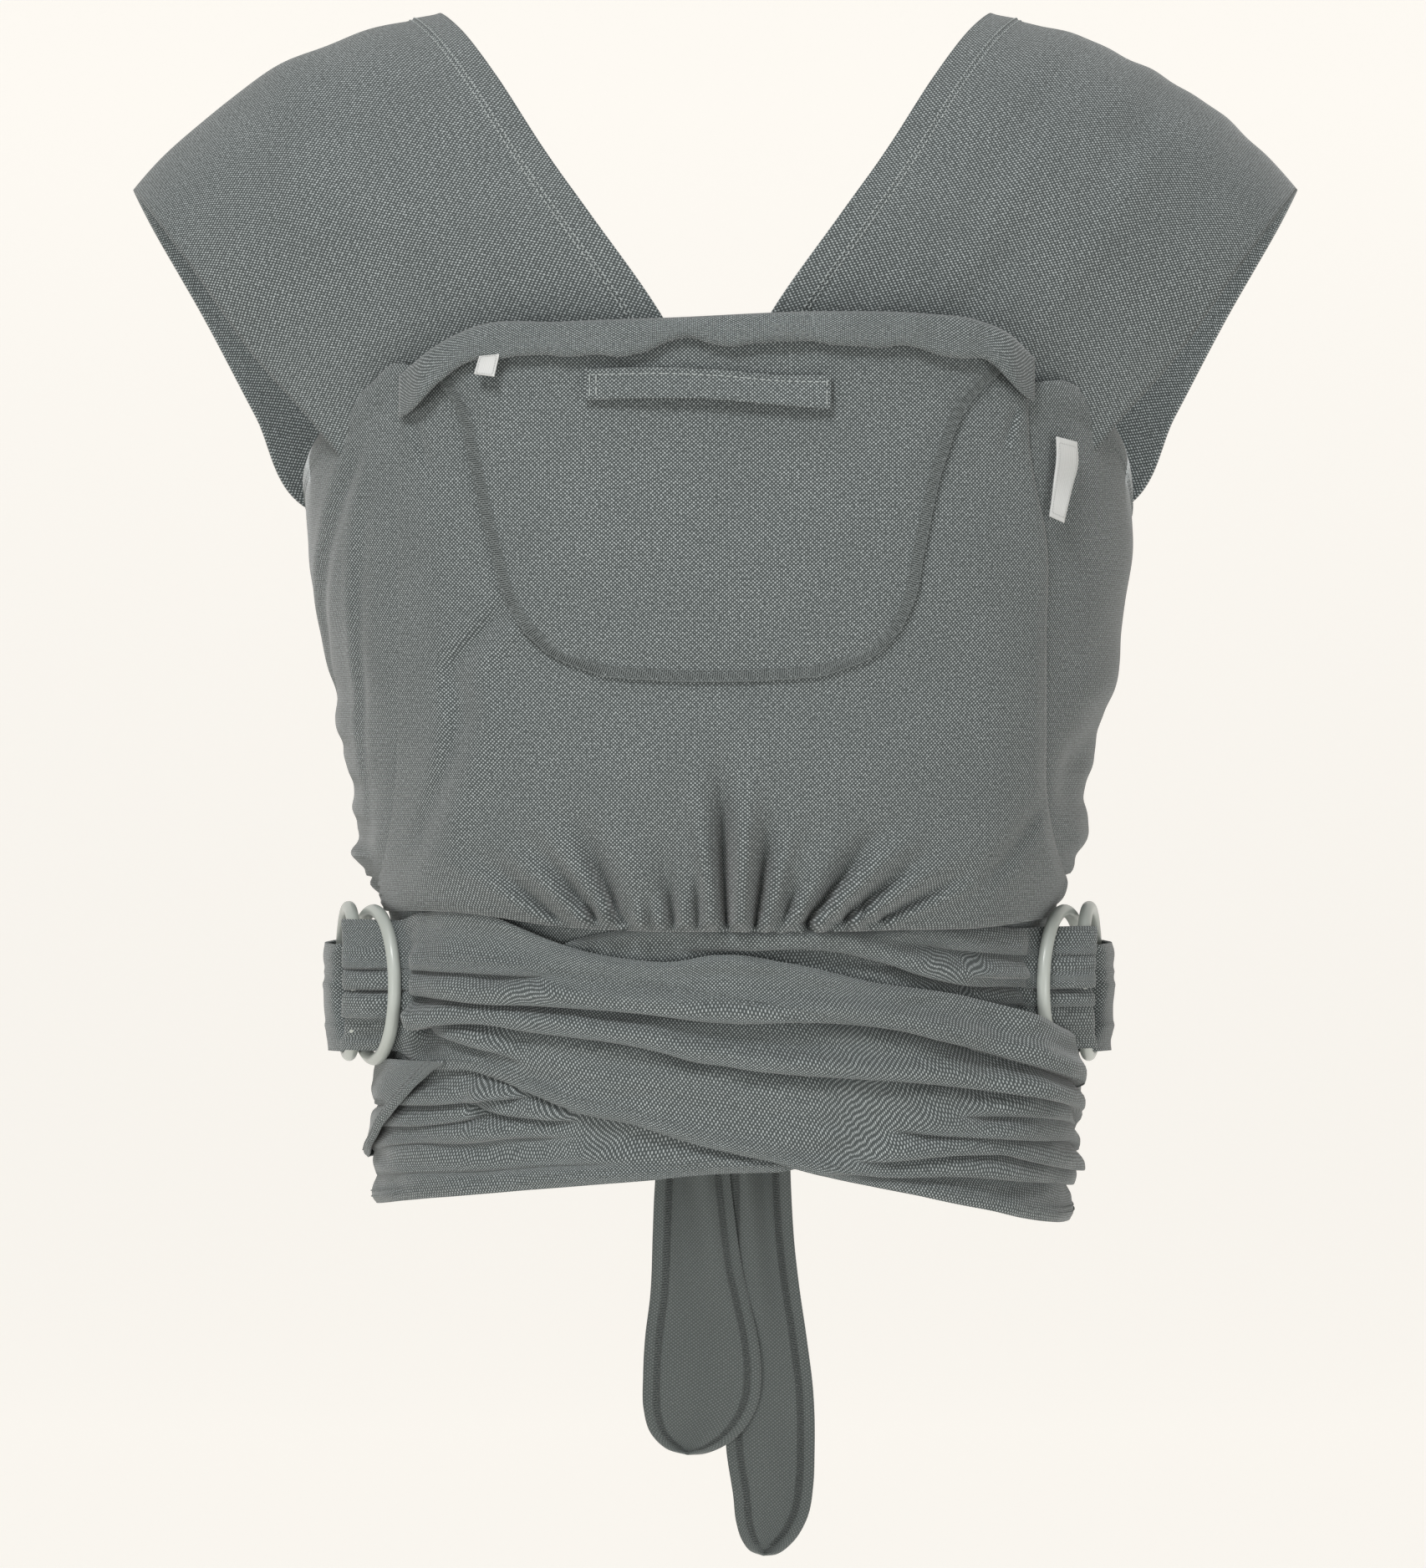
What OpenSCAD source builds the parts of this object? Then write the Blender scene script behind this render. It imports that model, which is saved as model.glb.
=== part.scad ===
// Baby wrap sling with ring-tightened waist sashes, in the shape it takes when worn.
// Millimetres. X is the wearer's left, -Y the front, +Z up.
// The origin is on the wearer's trunk axis, level with the lower edge of the waist sash.

/* [Wearer] */
// Width of the body at the waist, under the cloth
waist_w = 246; // [220:2:320]
// Depth of the body at the waist
waist_d = 178; // [150:2:230]
// Width of the body under the arms
chest_w = 304; // [270:2:360]
// Depth of the body under the arms
chest_d = 216; // [180:2:260]
// Distance between the outer edges of the two shoulder bands
shoulder_span = 444; // [400:2:520]

/* [Carrier] */
// Height from the lower edge of the sash to the top of the shoulder bands
carrier_h = 462; // [400:2:560]
// Thickness of one layer of cloth
cloth_t = 1.2; // [0.8:0.1:1.5]
// Space between one layer and the next
layer_gap = 0.7; // [0.5:0.1:1]
// Distance that the side wings reach behind the arm line, in degrees round the body
wing_wrap = 14; // [6:1:20]
// Width of a shoulder band where it is drawn together at the back
cross_w = 56; // [44:2:64]
// Height of the sleeve that holds the bands where they cross
sleeve_h = 30; // [20:1:40]

/* [Head support] */
// Width of the head support at its seam's foot
support_foot_w = 112; // [80:2:140]
// Width of the head support near its top
support_head_w = 196; // [170:2:220]
// Height of the head support
support_h = 112; // [80:2:120]
// Thickness of the soft interlining in the head support
pad_t = 1.6; // [1:0.1:3]
// Height of the turned top hem
hem_h = 12; // [9:0.5:16]
// Length of the carrying strap on the head support
strap_l = 92; // [60:1:110]
// Width of the carrying strap
strap_w = 9.5; // [6:0.5:12]

/* [Rings] */
// Outside diameter of a sling ring
ring_d = 61; // [54:1:66]
// Thickness of a ring's wire
wire_d = 5; // [4:0.2:6]
// Height of the rings' centres
ring_z = 91; // [88:1:98]
// Distance that the rear ring sits behind the front one
ring_stagger = 18; // [14:1:22]

/* [Sash] */
// Half depth of the knot at the back
knot_t = 9; // [7:0.5:12]
// Radius of the knot
knot_r = 19; // [14:0.5:24]
// Width of the shorter sash tail, which hangs open
left_tail_w = 45; // [34:1:54]
// Width of the longer sash tail, which hangs partly folded
right_tail_w = 36; // [26:1:54]
// Length of the shorter tail, with its root
left_tail_l = 103; // [80:1:150]
// Length of the longer tail, with its root
right_tail_l = 142; // [110:1:220]

/* [Labels] */
// Length of the side label
label_l = 34; // [20:1:44]
// Distance that the side label stands out of its seam
label_w = 11; // [8:0.5:14]
// Width of the small tag under the hem
tag_w = 9; // [6:0.5:12]

/* [Hidden] */

cloth = "#737876";
cloth_dark = "#5a5f5c";
ring_grey = "#b9beb9";
label_grey = "#cdd1cf";

// Squareness of the trunk's cross-section: 1 is an ellipse, less is fuller at the corners.
fullness = 0.85;
// Heights in the tables below are drawn for a carrier this tall.
drawn_h = 462;
drawn_span = 444;
drawn_chest_d = 216;

// The layers of cloth, counted outward from the body.
pitch = cloth_t + layer_gap;
CROSS_LEFT = 0;
CROSS_RIGHT = 1;
WING = 2;
PANEL = 3;
SASH_RIGHT = 4;
SASH_LEFT = 5;
FOLD = 6;
lining_d = (PANEL + 1) * pitch;
cover_d = lining_d + pad_t + layer_gap;
trim_d = cover_d + pitch;

function layer(n) = n * pitch;
function up(h) = h * carrier_h / drawn_h;
function mix(a, b, t) = a + (b - a) * t;
function clamp(t) = min(1, max(0, t));
function ease(t) = let (c = clamp(t)) c * c * (3 - 2 * c);
function column(rows, n) = [for (r = rows) [r[0], r[n]]];

// The trunk: [height, half width, front half depth, back half depth].
trunk = [
    [up(-5), 0.985 * waist_w / 2, 0.99 * waist_d / 2, 0.96 * waist_d / 2],
    [up(30), waist_w / 2, 1.01 * waist_d / 2, 0.97 * waist_d / 2],
    [up(58), 0.978 * waist_w / 2, 1.03 * waist_d / 2, 0.97 * waist_d / 2],
    [up(122), 0.978 * waist_w / 2, 1.12 * waist_d / 2, waist_d / 2],
    [up(134), 1.05 * waist_w / 2, 1.18 * waist_d / 2, 1.02 * waist_d / 2],
    [up(165), 0.885 * chest_w / 2, 1.04 * chest_d / 2, 0.87 * chest_d / 2],
    [up(210), 0.945 * chest_w / 2, 1.09 * chest_d / 2, 0.91 * chest_d / 2],
    [up(275), chest_w / 2, 1.08 * chest_d / 2, 0.96 * chest_d / 2],
    [up(330), 0.985 * chest_w / 2, 1.02 * chest_d / 2, 0.96 * chest_d / 2]
];
function half_w(z) = lookup(z, column(trunk, 1));
function half_d(z, a) = lookup(z, column(trunk, cos(a) > 0 ? 2 : 3));
function power(v, p) = sign(v) * pow(abs(v), p);

// A point on the trunk at angle a, measured from the front towards +X, and height z, pushed out by d.
function on_trunk(a, z, d) =
    let (w = half_w(z), h = half_d(z, a), n = [power(sin(a), 2 - fullness) / w,
        -power(cos(a), 2 - fullness) / h])
    let (out = n / norm(n))
    [w * power(sin(a), fullness) + d * out[0], -h * power(cos(a), fullness) + d * out[1], z];
// The angle at which the trunk is x wide at height z, in front and then behind, going round by -X.
function angle_at(x, z) = asin(power(min(1, abs(x) / half_w(z)), 1 / fullness)) * sign(x);
function behind(x, z) = -180 - angle_at(x, z);

// A closed skin between two grids of points, each nu + 1 by nv + 1.
module skin(inner, outer, nu, nv) {
    row = nv + 1;
    base = (nu + 1) * row;
    at = function (i, j) i * row + j;
    quads = [
        for (i = [0:nu - 1], j = [0:nv - 1])
            let (a = at(i, j), b = at(i + 1, j), c = at(i + 1, j + 1), e = at(i, j + 1))
            each [[a, b, c, e], [base + a, base + e, base + c, base + b]],
        for (i = [0:nu - 1])
            each [
                [at(i, 0), base + at(i, 0), base + at(i + 1, 0), at(i + 1, 0)],
                [at(i + 1, nv), base + at(i + 1, nv), base + at(i, nv), at(i, nv)]
            ],
        for (j = [0:nv - 1])
            each [
                [at(0, j + 1), base + at(0, j + 1), base + at(0, j), at(0, j)],
                [at(nu, j), base + at(nu, j), base + at(nu, j + 1), at(nu, j + 1)]
            ]
    ];
    triangles = [for (q = quads) each [[q[0], q[1], q[2]], [q[0], q[2], q[3]]]];
    polyhedron(points = concat(inner, outer), faces = triangles);
}

// A sheet on the trunk. place(u, v) gives [angle, height, extra distance], and d is its inner face.
module sheet(place, d, nu, nv, t = cloth_t) {
    grid = [for (i = [0:nu], j = [0:nv]) place(i / nu, j / nv)];
    skin([for (p = grid) on_trunk(p[0], p[1], d + p[2])],
        [for (p = grid) on_trunk(p[0], p[1], d + p[2] + t)], nu, nv);
}

// An outline of [position, first edge, second edge, ...] rows, read at position u from 0 to 1.
function between(rows, u, n) = lookup(u, column(rows, n));

// ---- Shoulder bands, drawn for the left side of the picture, where X is negative ----
cross_z = up(250);
// Half the drawn-in band's width, measured along X and along Z where it runs at 45 degrees.
cross_half = cross_w / 2 * sqrt(0.5);
// Distance between the pieces of a band that a seam joins.
seam_gap = 1;
// [place along the band, inner edge's angle, its height, outer edge's angle, its height]
band_low = [
    [0, -3, up(316), -64, up(282)],
    [0.14, -6, up(345), -80, up(300)],
    [0.82, -168, up(350), -112, up(290)],
    [0.9, behind(cross_half - 42, cross_z), cross_z + 42 + cross_half,
        behind(-cross_half - 42, cross_z), cross_z + 42 - cross_half],
    [1, behind(cross_half, cross_z), cross_z + cross_half, behind(-cross_half, cross_z), cross_z - cross_half]
];
// [place, inner edge, outer edge, how far the middle stands out] over the shoulder
band_top = [
    [0.14, [-22, -104, 345], [-150, -60, 300], 16],
    [0.26, [-50, -88, 386], [-186, -54, 342], 16],
    [0.36, [-76, -62, 425], [-204, -40, 368], 15],
    [0.44, [-95, -26, 452], [-217, -20, 387], 13],
    [0.5, [-108, 4, 462], [-222, 2, 393], 12],
    [0.57, [-101, 38, 452], [-216, 24, 383], 13],
    [0.68, [-78, 72, 418], [-196, 46, 346], 15],
    [0.82, [-36, 99, 355], [-158, 66, 286], 16]
];
function band_scale(p) = [p[0] * shoulder_span / drawn_span, p[1] * chest_d / drawn_chest_d, up(p[2])];
function band_edge(s, n) = [for (k = [0:2]) lookup(s, [for (r = band_top) [r[0], band_scale(r[n])[k]]])];
// Outward direction of the band over the shoulder: forward, then up, then back.
function band_out(s) = let (a = 180 * clamp((s - 0.14) / 0.68))
    let (v = [-0.35, -cos(a), 0.25 + sin(a)]) v / norm(v);
// How much a place on the band follows the shoulder and not the trunk.
function on_shoulder(s) = ease((s - 0.14) / 0.1) * ease((0.82 - s) / 0.1);
function band_point(s, t, d) =
    let (trunk_side = on_trunk(mix(between(band_low, s, 1), between(band_low, s, 3), t),
        mix(between(band_low, s, 2), between(band_low, s, 4), t), d))
    let (bulge = lookup(s, column(band_top, 3)) * 4 * t * (1 - t))
    let (top_side = mix(band_edge(s, 1), band_edge(s, 2), t) + (bulge + d) * band_out(s))
    mix(trunk_side, top_side, on_shoulder(s));
module shoulder_band(n) {
    nu = 34;
    nv = 6;
    skin([for (i = [0:nu], j = [0:nv]) band_point(i / nu, j / nv, layer(n))],
        [for (i = [0:nu], j = [0:nv]) band_point(i / nu, j / nv, layer(n) + cloth_t)], nu, nv);
}

// The band goes on under the panel, across the chest to the rings on the other side.
// [place, upper edge's angle, height, lower edge's angle, height]
cross_rows = [
    [0, -3 + seam_gap, up(316) - seam_gap, -64 + seam_gap, up(282) - seam_gap],
    [0.25, 50, up(300), -24, up(228)],
    [0.45, 86, up(262), 6, up(178)],
    [0.65, 92, up(205), 32, up(140)],
    [0.85, 88, up(150), 52, up(110)],
    [1, 84, up(118), 62, up(98)]
];
module cross_band(n) {
    sheet(function (u, v) [mix(between(cross_rows, u, 1), between(cross_rows, u, 3), v),
        mix(between(cross_rows, u, 2), between(cross_rows, u, 4), v), 0], layer(n), 26, 7);
}

// The band's lower leg at the back, from the crossing to the ring loop on the other side.
leg_x = cross_half + seam_gap;
leg_z = cross_z - seam_gap;
leg_rows = [
    [0, -behind(-leg_x, cross_z), leg_z + cross_half, -behind(cross_half - seam_gap, cross_z), leg_z - cross_half],
    [0.35, 157, up(212), 172, up(178)],
    [0.7, 136, up(166), 150, up(134)],
    [1, 118, up(106), 130, up(76)]
];
module back_leg(n) {
    sheet(function (u, v) [mix(between(leg_rows, u, 1), between(leg_rows, u, 3), v),
        mix(between(leg_rows, u, 2), between(leg_rows, u, 4), v), 0], layer(n), 16, 4);
}

// The sleeve that holds the two bands where they cross at the back.
module back_cross_sleeve() {
    // Bands at 45 degrees take up this much of the sleeve's width.
    hollow = cross_w / 2 * sqrt(2) + sleeve_h / 2 + 4 * layer_gap;
    wall = function (x, over) let (half = angle_at(x, cross_z)) function (u, v)
        [180 + mix(-half, half, u), cross_z + (sleeve_h / 2 + over) * (2 * v - 1), 0];
    color(cloth_dark) difference() {
        sheet(wall(hollow + 2 * cloth_t, 0), -pitch, 16, 4, layer(2) + pitch + cloth_t);
        sheet(wall(hollow, 1), -layer_gap, 16, 4, layer(2) + layer_gap);
    }
}

// ---- Front support panel ----
panel_foot = up(98);
panel_top = up(333);
hem_corner = up(312);
seam_angle = angle_at(125, up(275));
// Half of the panel's angle at a height, a little wider at the foot where it is gathered.
function panel_reach(z) = lookup(z, [[panel_foot, 74], [up(134), 52], [up(160), 56],
    [up(240), seam_angle], [panel_top, seam_angle]]);
function panel_rim(x) = mix(panel_top, hem_corner, ease((abs(x) - 0.72) / 0.28));
module front_panel() {
    color(cloth) sheet(function (u, v)
        let (x = 2 * u - 1, z = mix(panel_foot, panel_rim(x), v))
        [x * panel_reach(z), z, 0], layer(PANEL), 36, 20);
}

// The wings are sewn to the panel's sides and wrap round the body under the arms.
// [place up the wing, height at the panel, front angle, rear angle, height at the rear]
wing_rows = [
    [0, up(136), 48, 92 + wing_wrap * 0.4, up(136)],
    [0.25, up(165), 48, 92 + wing_wrap * 0.7, up(160)],
    [0.7, up(250), 50, 92 + wing_wrap, up(225)],
    [0.9, up(300), 50, 92 + wing_wrap, up(258)],
    [1, up(316), 50, 92 + wing_wrap, up(270)]
];
module side_wing() {
    place = function (u, v)
        let (fore = between(wing_rows, v, 1), aft = between(wing_rows, v, 4), turn = ease(u * 1.05))
        [mix(between(wing_rows, v, 2), between(wing_rows, v, 3), u), mix(fore, aft, turn), 0];
    color(cloth) mirror([1, 0, 0]) sheet(place, layer(WING), 18, 12);
}

// ---- Head support ----
support_foot = up(206);
support_top = support_foot + support_h;
// Half width of the head support at a height, curving out of its rounded foot.
function support_half(k) = mix(support_foot_w / 2 * 0.62, support_foot_w / 2 + 17, pow(clamp(k / 0.28), 0.5))
    + (support_head_w - support_foot_w - 34) / 2 * ease((k - 0.25) / 0.75);
function on_support(x, k, inset) =
    let (z = mix(support_foot + inset, support_top - inset, k))
    [angle_at(x * (support_half(k) - inset), z), z, 0];
module head_support_lining() {
    color("#d8d9d4") sheet(function (u, v) on_support(2 * u - 1, v, 4), lining_d, 12, 8, pad_t);
}
module head_support_cover() {
    color(cloth) sheet(function (u, v) on_support(2 * u - 1, v, 0), cover_d, 14, 10);
}

// ---- Turned hem along the top of the panel, with its elastic inside ----
hem_low = 0.8;
hem_reach = seam_angle - 4;
function hem_place(u) = let (x = 2 * u - 1) [x * hem_reach, panel_rim(x) - hem_low];
// The hem's section is a folded strip: [distance out, height], drawn round its outline.
hem_depth = cover_d + 2 * cloth_t + layer_gap - layer(WING) + 2.2;
hem_section = let (t = cloth_t, e = hem_depth, h = hem_h)
    [[0, -h * 0.35], [0, h - 1], [1, h], [e - 1, h], [e, h - 1], [e, 0], [e - t, 0],
    [e - t, h - t - 0.6], [e - t - 0.6, h - t], [t + 0.6, h - t], [t, h - t - 0.6], [t, -h * 0.35]];
hem_d = layer(PANEL) - cloth_t - layer_gap + 0.2;
module swept(section, n, place) {
    m = len(section);
    points = [for (i = [0:n], s = section) let (p = place(i / n)) on_trunk(p[0], p[1] + s[1], hem_d + s[0])];
    sides = [for (i = [0:n - 1], j = [0:m - 1]) let (k = (j + 1) % m)
        each [[i * m + j, (i + 1) * m + j, (i + 1) * m + k], [i * m + j, (i + 1) * m + k, i * m + k]]];
    ends = [[for (j = [0:m - 1]) j], [for (j = [m - 1:-1:0]) n * m + j]];
    polyhedron(points = points, faces = concat(sides, ends));
}
module top_hem() {
    color(cloth) swept(hem_section, 28, function (u) hem_place(u));
}
elastic_w = 5;
elastic_t = 1;
module top_hem_elastic() {
    mid = hem_depth / 2 + 1.2;
    low = hem_h - cloth_t - layer_gap - elastic_w;
    section = [[mid, low], [mid, low + elastic_w], [mid + elastic_t, low + elastic_w], [mid + elastic_t, low]];
    color("#e4e2da") swept(section, 28, function (u) hem_place(mix(0.03, 0.97, u)));
}
module gather_elastic() {
    color("#e4e2da") sheet(function (u, v) [mix(-26, 18, u), mix(up(104), up(104) + elastic_w, v), 0],
        layer(PANEL) - layer_gap / 2 - elastic_t, 8, 1, elastic_t);
}

// The carrying strap is sewn flat to the head support at both ends and stands off it between them.
strap_z = up(303);
strap_bow = 1.6;
module carry_strap() {
    color(cloth) sheet(function (u, v)
        let (x = strap_l * (u - 0.5) - 4, z = strap_z + strap_w * (v - 0.5) - 2.6 * (u - 0.5))
        [angle_at(x, z), z, strap_bow * sin(180 * u) * (1 - 0.6 * v)], trim_d, 14, 3, 2 * cloth_t);
}

// ---- Labels ----
tag_h = 7;
tag_t = 0.8;
tag_x = -89;
// It hangs from the hem's lower edge.
tag_z = hem_place((1 + angle_at(tag_x, panel_top) / hem_reach) / 2)[1] - layer_gap;
tag_d = hem_d + hem_depth - cloth_t + (cloth_t - tag_t) / 2;
module small_tag() {
    color(label_grey) sheet(function (u, v)
        let (x = tag_x + tag_w * (u - 0.5) - 0.8 * (1 - v), z = tag_z - tag_h * (1 - v))
        [angle_at(x, tag_z), z, 0], tag_d, 2, 2, tag_t);
}
label_z = up(279.5);
// The label's root is a little way in from the panel's seam.
label_inset = 5;
label_angle = seam_angle - label_inset;
label_turn = label_w * 0.42;
module side_label() {
    color(label_grey) sheet(function (u, v)
        let (z = label_z + label_l * (v - 0.5))
        [label_angle + 1.5 * sin(160 * v) + label_turn * u, z, 0],
        layer(PANEL) + pitch, 4, 6, 0.8);
}

// ---- Rings ----
stack = layer(SASH_LEFT) + cloth_t;
ring_mid_r = (ring_d - wire_d) / 2;
ring_angle = -76;
ring_clear = 0.6;
yaw_front = 18.8;
yaw_rear = 8.6;
// How far the pair of rings tips outward in its loop, in degrees.
ring_tip = 10;
// The front ring lies flat against the side of the body, clear of the layers under it.
seat = on_trunk(ring_angle, ring_z, stack + wire_d / 2 + ring_clear);
front_at = [seat[0], seat[1], ring_z];
// The rear ring crosses outside the front one, a wire's thickness away where they pass.
rear_y = front_at[1] + ring_stagger;
pass_y = (front_at[1] + rear_y) / 2;
pass_x = front_at[0] - tan(yaw_front) * (pass_y - front_at[1]);
rear_at = [pass_x + tan(yaw_rear) * (pass_y - rear_y) - (wire_d + ring_clear) / cos(yaw_front), rear_y, ring_z + 1];
function ring_along(yaw) = [-sin(yaw), cos(yaw), 0];
front_back = front_at + ring_mid_r * ring_along(yaw_front);
rear_back = rear_at + ring_mid_r * ring_along(yaw_rear);

module ring(at, yaw) {
    color(ring_grey) translate(at) rotate([0, 0, yaw]) rotate([0, 90, 0])
        rotate_extrude($fn = 96) translate([ring_mid_r, 0]) circle(d = wire_d, $fn = 32);
}

// A strip of cloth on edge along a plan path, as a polygon to extrude.
function strip(path, t) =
    let (n = len(path) - 1)
    let (side = function (i) let (a = path[max(0, i - 1)], b = path[min(n, i + 1)])
        let (v = (b - a) / norm(b - a)) [-v[1], v[0]] * t / 2)
    concat([for (i = [0:n]) path[i] + side(i)], [for (i = [n:-1:0]) path[i] - side(i)]);
function smooth_path(points, steps) = let (n = len(points) - 1) [
    for (i = [0:n - 1], k = [0:steps - 1])
        let (a = points[max(0, i - 1)], b = points[i], c = points[i + 1], e = points[min(n, i + 2)], t = k / steps)
        0.5 * (2 * b + (c - a) * t + (2 * a - 5 * b + 4 * c - e) * t * t + (3 * b - a - 3 * c + e) * t * t * t),
    points[n]
];

// The loop of the back leg that holds both rings: a hairpin round their rear wires.
loop_foot = ring_z - 20;
loop_top = ring_z + 14;
module ring_loop() {
    room = wire_d / 2 + ring_clear + cloth_t / 2 + 0.3;
    // How far forward the front ring's wire bows inside the loop's height.
    bow = ring_mid_r - sqrt(pow(ring_mid_r, 2) - pow(ring_z - loop_foot, 2));
    // The rings tip outward inside the loop, so its outer side stands off by this much more.
    tip_room = (ring_stagger + bow) * sin(ring_tip);
    nose = front_back - (bow + room + 1.5) * ring_along(yaw_front);
    skin_at = function (a) let (p = on_trunk(a, ring_z, stack + layer_gap + cloth_t / 2)) [p[0], p[1]];
    inner_x = skin_at(-92)[0];
    path = [
        skin_at(-114),
        skin_at(-103),
        skin_at(-92),
        [min(inner_x, nose[0] + room * 0.7), nose[1] + 3],
        [nose[0] - 0.5 - tip_room * 0.7, nose[1] - 1],
        [nose[0] - room * 1.15 - tip_room * 1.45, nose[1] + 3.5],
        [front_back[0] - room * 1.25 - tip_room, front_back[1]],
        [rear_back[0] - room - 0.5, rear_back[1] - 3],
        [rear_back[0] - room + 1, rear_back[1] + room + 2],
        [rear_back[0] + 2, rear_back[1] + room + 8],
        skin_at(-114) + [-2.6, 1.5]
    ];
    color(cloth) translate([0, 0, loop_foot]) linear_extrude(height = loop_top - loop_foot)
        polygon(strip(smooth_path(path, 4), cloth_t));
}

// The sash cloth gathered in the front ring's hole.
gather_h = 34;
gather_w = 22;
gather_t = 5;
module ring_gather() {
    color(cloth) translate(front_at) rotate([0, 0, yaw_front])
        translate([-gather_t + 0.4, -gather_w / 2 - 4, -gather_h / 2])
        cube([gather_t, gather_w, gather_h]);
}

// ---- Waist sashes ----
// [angle, upper edge, lower edge]
left_sash_rows = [
    [-72, up(112), up(70)], [-50, up(118), up(57)], [-34, up(112), up(53)], [-24, up(105), up(45)],
    [-7, up(99), up(34)], [8, up(98), up(22)], [22, up(91), up(14)], [37, up(87), up(7)],
    [60, up(76), up(0.4)], [74, up(67), up(0.2)], [82, up(58), up(1)], [90, up(56), up(3)],
    [125, up(56), up(8)], [174, up(50), up(24)]
];
// Where the left sash passes over the right front ring it stands out by this much.
over_ring = 2 * ring_clear + wire_d + cloth_t + 2;
function ring_lift(a, z) = over_ring * ease((a - 42) / 12) * (1 - ease((a - 85) / 9)) * ease((z - up(40)) / up(14));
module sash(rows, d, lifted) {
    first = rows[0][0];
    last = rows[len(rows) - 1][0];
    place = function (u, v) let (a = mix(first, last, u))
        let (z = mix(lookup(a, column(rows, 2)), lookup(a, column(rows, 1)), v))
        [a, z, lifted ? ring_lift(a, z) : 0];
    color(cloth) sheet(place, d, 52, 7);
}
// Drawn for the ring on the left side and mirrored, so the right sash runs the other way.
right_sash_rows = [
    [-72, up(108), up(74)], [-50, up(112), up(68)], [-22, up(111), up(45)], [-8, up(111), up(22)],
    [0, up(111), up(19)], [12, up(113), up(17)], [24, up(105), up(14)], [45, up(78), up(9)],
    [58, up(58), up(8)], [90, up(57), up(6)], [125, up(57), up(12)], [174, up(52), up(26)]
];
fold_rows = [
    [-130, up(54), up(20)], [-100, up(56), up(24)], [-90, up(57), up(28)], [-75, up(57), up(37)],
    [-62, up(58), up(49)], [-54, up(58), up(56)]
];
module left_sash_fold() {
    first = fold_rows[0][0];
    last = fold_rows[len(fold_rows) - 1][0];
    color(cloth) sheet(function (u, v) let (a = mix(first, last, u))
        [a, mix(lookup(a, column(fold_rows, 2)), lookup(a, column(fold_rows, 1)), v), 0], layer(FOLD), 14, 3);
}

// ---- Knot and tails at the back ----
knot_z = up(38);
knot_in = half_d(knot_z, 180) + layer(FOLD + 1);
knot_y = knot_in + knot_t;
wrap_w = 13;
module sash_knot() {
    // Radius of the knot's rounded edge.
    rim = knot_t * 0.7;
    color(cloth_dark) translate([0, knot_y, knot_z]) rotate([90, 0, 0])
        rotate_extrude($fn = 64) union() {
            translate([0, -knot_t]) square([knot_r - rim, 2 * knot_t]);
            translate([knot_r - rim, -rim]) square([rim * 0.6, 2 * rim]);
            translate([knot_r - rim, 0]) circle(r = rim, $fn = 32);
        }
}
// The last turn of cloth, drawn tight over the knot's face.
module knot_wrap() {
    color(cloth_dark) translate([-wrap_w / 2, knot_y + knot_t + layer_gap, knot_z - knot_r * 0.8])
        cube([wrap_w, 2.5 * cloth_t, knot_r * 1.6]);
}
root_h = 9;
root_t = 7;
// The root turns about its top edge, so it hangs half its own thickness below the knot.
root_top = knot_z - knot_r - layer_gap - root_t / 2;
root_foot = root_top - root_h;
tail_y = knot_y;
tail_t = 2 * cloth_t;
tail_top = root_foot - layer_gap;
module tail_root() {
    color(cloth_dark) translate([0, tail_y, root_foot]) linear_extrude(height = root_h)
        translate([-16, -root_t / 2]) square([36, root_t]);
}
// A tail is widest low down and has a round end. It is drawn from the centre of its round top,
// about which it swings.
function neck_r(w) = 0.33 * w;
module tail(x, side, w, length, lean) {
    steps = 14;
    end_r = w / 2;
    top_r = neck_r(w);
    half = function (k) mix(top_r, w / 2, ease(k / 0.6));
    straight = length - root_h - end_r - top_r;
    outline = concat(
        [for (i = [0:11]) let (a = 180 * i / 12) [-top_r * cos(a), top_r * sin(a)]],
        [for (i = [0:steps]) let (k = i / steps) [half(k) + lean * k * k, -straight * k]],
        [for (i = [1:15]) let (a = 180 * i / 16) [end_r * cos(a) + lean, -straight - end_r * sin(a)]],
        [for (i = [steps:-1:1]) let (k = i / steps) [-half(k) + lean * k * k, -straight * k]]);
    translate([x, tail_y + side * (tail_t + layer_gap) / 2, tail_top - top_r]) rotate([90, 0, 0])
        linear_extrude(height = tail_t, center = true) polygon(outline);
}
module left_tail() {
    color(cloth_dark) tail(-8, -1, left_tail_w, left_tail_l, 1);
}
module right_tail() {
    color(cloth_dark) tail(13, 1, right_tail_w, right_tail_l, 6);
}

color(cloth) shoulder_band(CROSS_LEFT);  // left_shoulder_band
color(cloth) mirror([1, 0, 0]) shoulder_band(CROSS_RIGHT);  // right_shoulder_band
color(cloth) cross_band(CROSS_LEFT);  // left_cross_band
color(cloth) mirror([1, 0, 0]) cross_band(CROSS_RIGHT);  // right_cross_band
color(cloth) mirror([1, 0, 0]) back_leg(CROSS_RIGHT);  // left_back_leg
color(cloth) back_leg(CROSS_LEFT);  // right_back_leg
back_cross_sleeve();
front_panel();
side_wing();  // left_side_wing
mirror([1, 0, 0]) side_wing();  // right_side_wing
head_support_lining();
head_support_cover();
top_hem();
top_hem_elastic();
gather_elastic();
carry_strap();
small_tag();
side_label();
sash(left_sash_rows, layer(SASH_LEFT), true);  // left_sash
mirror([1, 0, 0]) sash(right_sash_rows, layer(SASH_RIGHT), false);  // right_sash
left_sash_fold();
ring(front_at, yaw_front);  // left_ring_front
ring(rear_at, yaw_rear);  // left_ring_rear
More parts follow.
